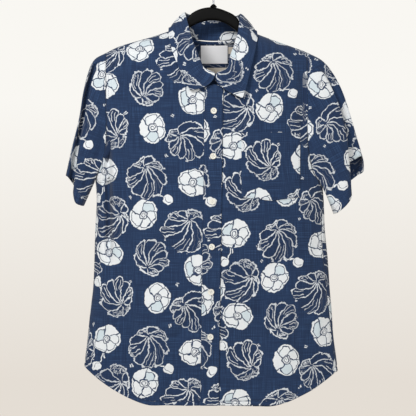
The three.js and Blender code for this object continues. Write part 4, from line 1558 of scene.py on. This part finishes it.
def make_hanger():
    """The arched bar as one smooth moulding: a rounded oblong section along its outline."""
    stations = 180
    around = 28
    share = np.linspace(0, 1, stations + 1)
    ends = 0.012
    x = mix(HANGER["x"][0], HANGER["x"][-1], share)
    top, foot = read(HANGER, "x", "top", x), read(HANGER, "x", "foot", x)
    closing = np.sqrt(np.clip(1 - (1 - np.clip(np.minimum(share, 1 - share) / ends, 0, 1)) ** 2, 0, 1))
    bm = bmesh.new()
    made = bmesh.ops.create_grid(bm, x_segments=around, y_segments=stations, size=1)["verts"]
    for vertex in made:
        turn = (vertex.co.x + 1) * math.pi
        i = round((vertex.co.y + 1) / 2 * stations)
        c, s = math.cos(turn), math.sin(turn)
        y = math.copysign(abs(c) ** 0.5, c) * HANGER_DEPTH / 2 * closing[i]
        up = math.copysign(abs(s) ** 0.5, s) * closing[i]
        vertex.co = Vector((x[i], y, (top[i] + foot[i]) / 2 + up * (top[i] - foot[i]) / 2)) * MM
    bmesh.ops.remove_doubles(bm, verts=bm.verts[:], dist=1e-6)
    bmesh.ops.recalc_face_normals(bm, faces=bm.faces[:])
    for face in bm.faces:
        face.smooth = True
    bar = finished("hanger_moulding", bm)
    bar.data.materials.append(BLACK_PLASTIC)
    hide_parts("hanger_bar")


def make_hook():
    wire, inside = 1.7, 20
    centre = inside + wire
    straight = [(0, 0, -61.7), (0, 0, -57), (0, 0, -53), (1.6, 0, -48.5), (5, 0, -44.5)]
    crook = [
        (centre * math.cos(math.radians(a)), 0, centre * math.sin(math.radians(a)) - inside)
        for a in (-40, -15, 10, 35, 60, 85, 110, 135, 160, 185)
    ]
    rough = np.array(straight + crook, float)
    lengths = np.concatenate([[0], np.cumsum(np.linalg.norm(np.diff(rough, axis=0), axis=-1))])
    rows = {"at": lengths, "x": rough[:, 0], "z": rough[:, 2]}
    at = np.linspace(0, lengths[-1], 120)
    path = np.stack([read(rows, "at", "x", at), 0 * at, read(rows, "at", "z", at)], axis=-1)
    bm = bmesh.new()
    tip = np.clip((lengths[-1] - at) / wire, 0, 1)
    tube(bm, path, wire * np.sqrt(1 - (1 - tip) ** 2 * 0.95), 20, (0, 1, 0))
    hook = finished("hook_wire_bright", bm)
    hook.data.materials.append(STEEL_WIRE)
    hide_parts("hanger_hook")

    bm = bmesh.new()
    profile = [(0, -67), (6.2, -67), (6.6, -66.7), (6.6, -66), (5.2, -64.4), (3.9, -62.6), (3.4, -62.05), (0, -62)]
    verts = [bm.verts.new((r * MM, 0, z * MM)) for r, z in profile]
    edges = [bm.edges.new(pair) for pair in zip(verts, verts[1:])]
    bmesh.ops.spin(bm, geom=verts + edges, cent=(0, 0, 0), axis=(0, 0, 1), angle=2 * math.pi, steps=40, use_merge=True)
    bmesh.ops.remove_doubles(bm, verts=bm.verts[:], dist=1e-6)
    bmesh.ops.recalc_face_normals(bm, faces=bm.faces[:])
    for face in bm.faces:
        face.smooth = True
    cap = finished("hanger_cap_moulding", bm)
    cap.data.materials.append(BLACK_PLASTIC)
    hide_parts("hanger_cap")


# The camera and the light


ROOM_LIGHT = 0.37


def make_stage():
    camera = bpy.data.objects.new("camera", bpy.data.cameras.new("camera"))
    camera.location = (-0.0105, -2.2, -0.4515)
    camera.rotation_euler = (math.pi / 2, 0, 0)
    camera.data.sensor_width = 36
    camera.data.lens = 99.4
    bpy.context.scene.collection.objects.link(camera)
    bpy.context.scene.camera = camera

    bpy.ops.mesh.primitive_plane_add(size=4.4, location=(0, 0, -1.3))
    floor = bpy.context.object
    floor.name = "floor"
    pale = plain("pale_floor", colour(232, 226, 218), 0.8, 40.0, 0.0005, mottle=0.03)
    floor.data.materials.append(pale)

    for name, place, size, power in (
        ("key", (-1.0, -1.8, 0.85), 0.6, 31),
        ("fill", (0.5, -2.4, -0.1), 1.6, 17),
        ("behind", (0.2, 1.9, 0.7), 1.6, 16),
    ):
        light = bpy.data.objects.new(name, bpy.data.lights.new(name, "AREA"))
        light.data.size = size
        light.data.energy = power
        light.location = place
        light.rotation_euler = (Vector((0, 0, -0.4)) - Vector(place)).to_track_quat("-Z", "Y").to_euler()
        bpy.context.scene.collection.objects.link(light)

    world = bpy.data.worlds.new("pale_room")
    world.use_nodes = True
    bpy.context.scene.world = world
    tree = world.node_tree
    shader = tree.nodes["Background"]
    direction = tree.nodes.new("ShaderNodeTexCoord").outputs["Generated"]
    height = split(tree, direction)[2]
    share = (height * 4.2 + 0.62).high(0.0).low(1.0)
    put(tree, mix_colour(tree, share, colour(228, 221, 212), colour(249, 247, 242)), shader.inputs["Color"])
    seen = Number(tree, tree.nodes.new("ShaderNodeLightPath").outputs["Is Camera Ray"])
    put(tree, seen * (1.0 - ROOM_LIGHT) + ROOM_LIGHT, shader.inputs["Strength"])


bpy.context.scene.view_settings.view_transform = "Standard"
make_stage()
panels = make_panels()
sleeves = make_sleeves()
band = make_band()
pocket = make_pocket()
fall = make_collar()
make_stand_ends()
make_stitching()
make_label("neck_label", WHITE_SATIN)
make_label("size_label", BEIGE_TAPE)
make_label("care_label", BEIGE_TAPE)
for number in range(1, 7):
    make_button(number, band)
make_hanger()
make_hook()
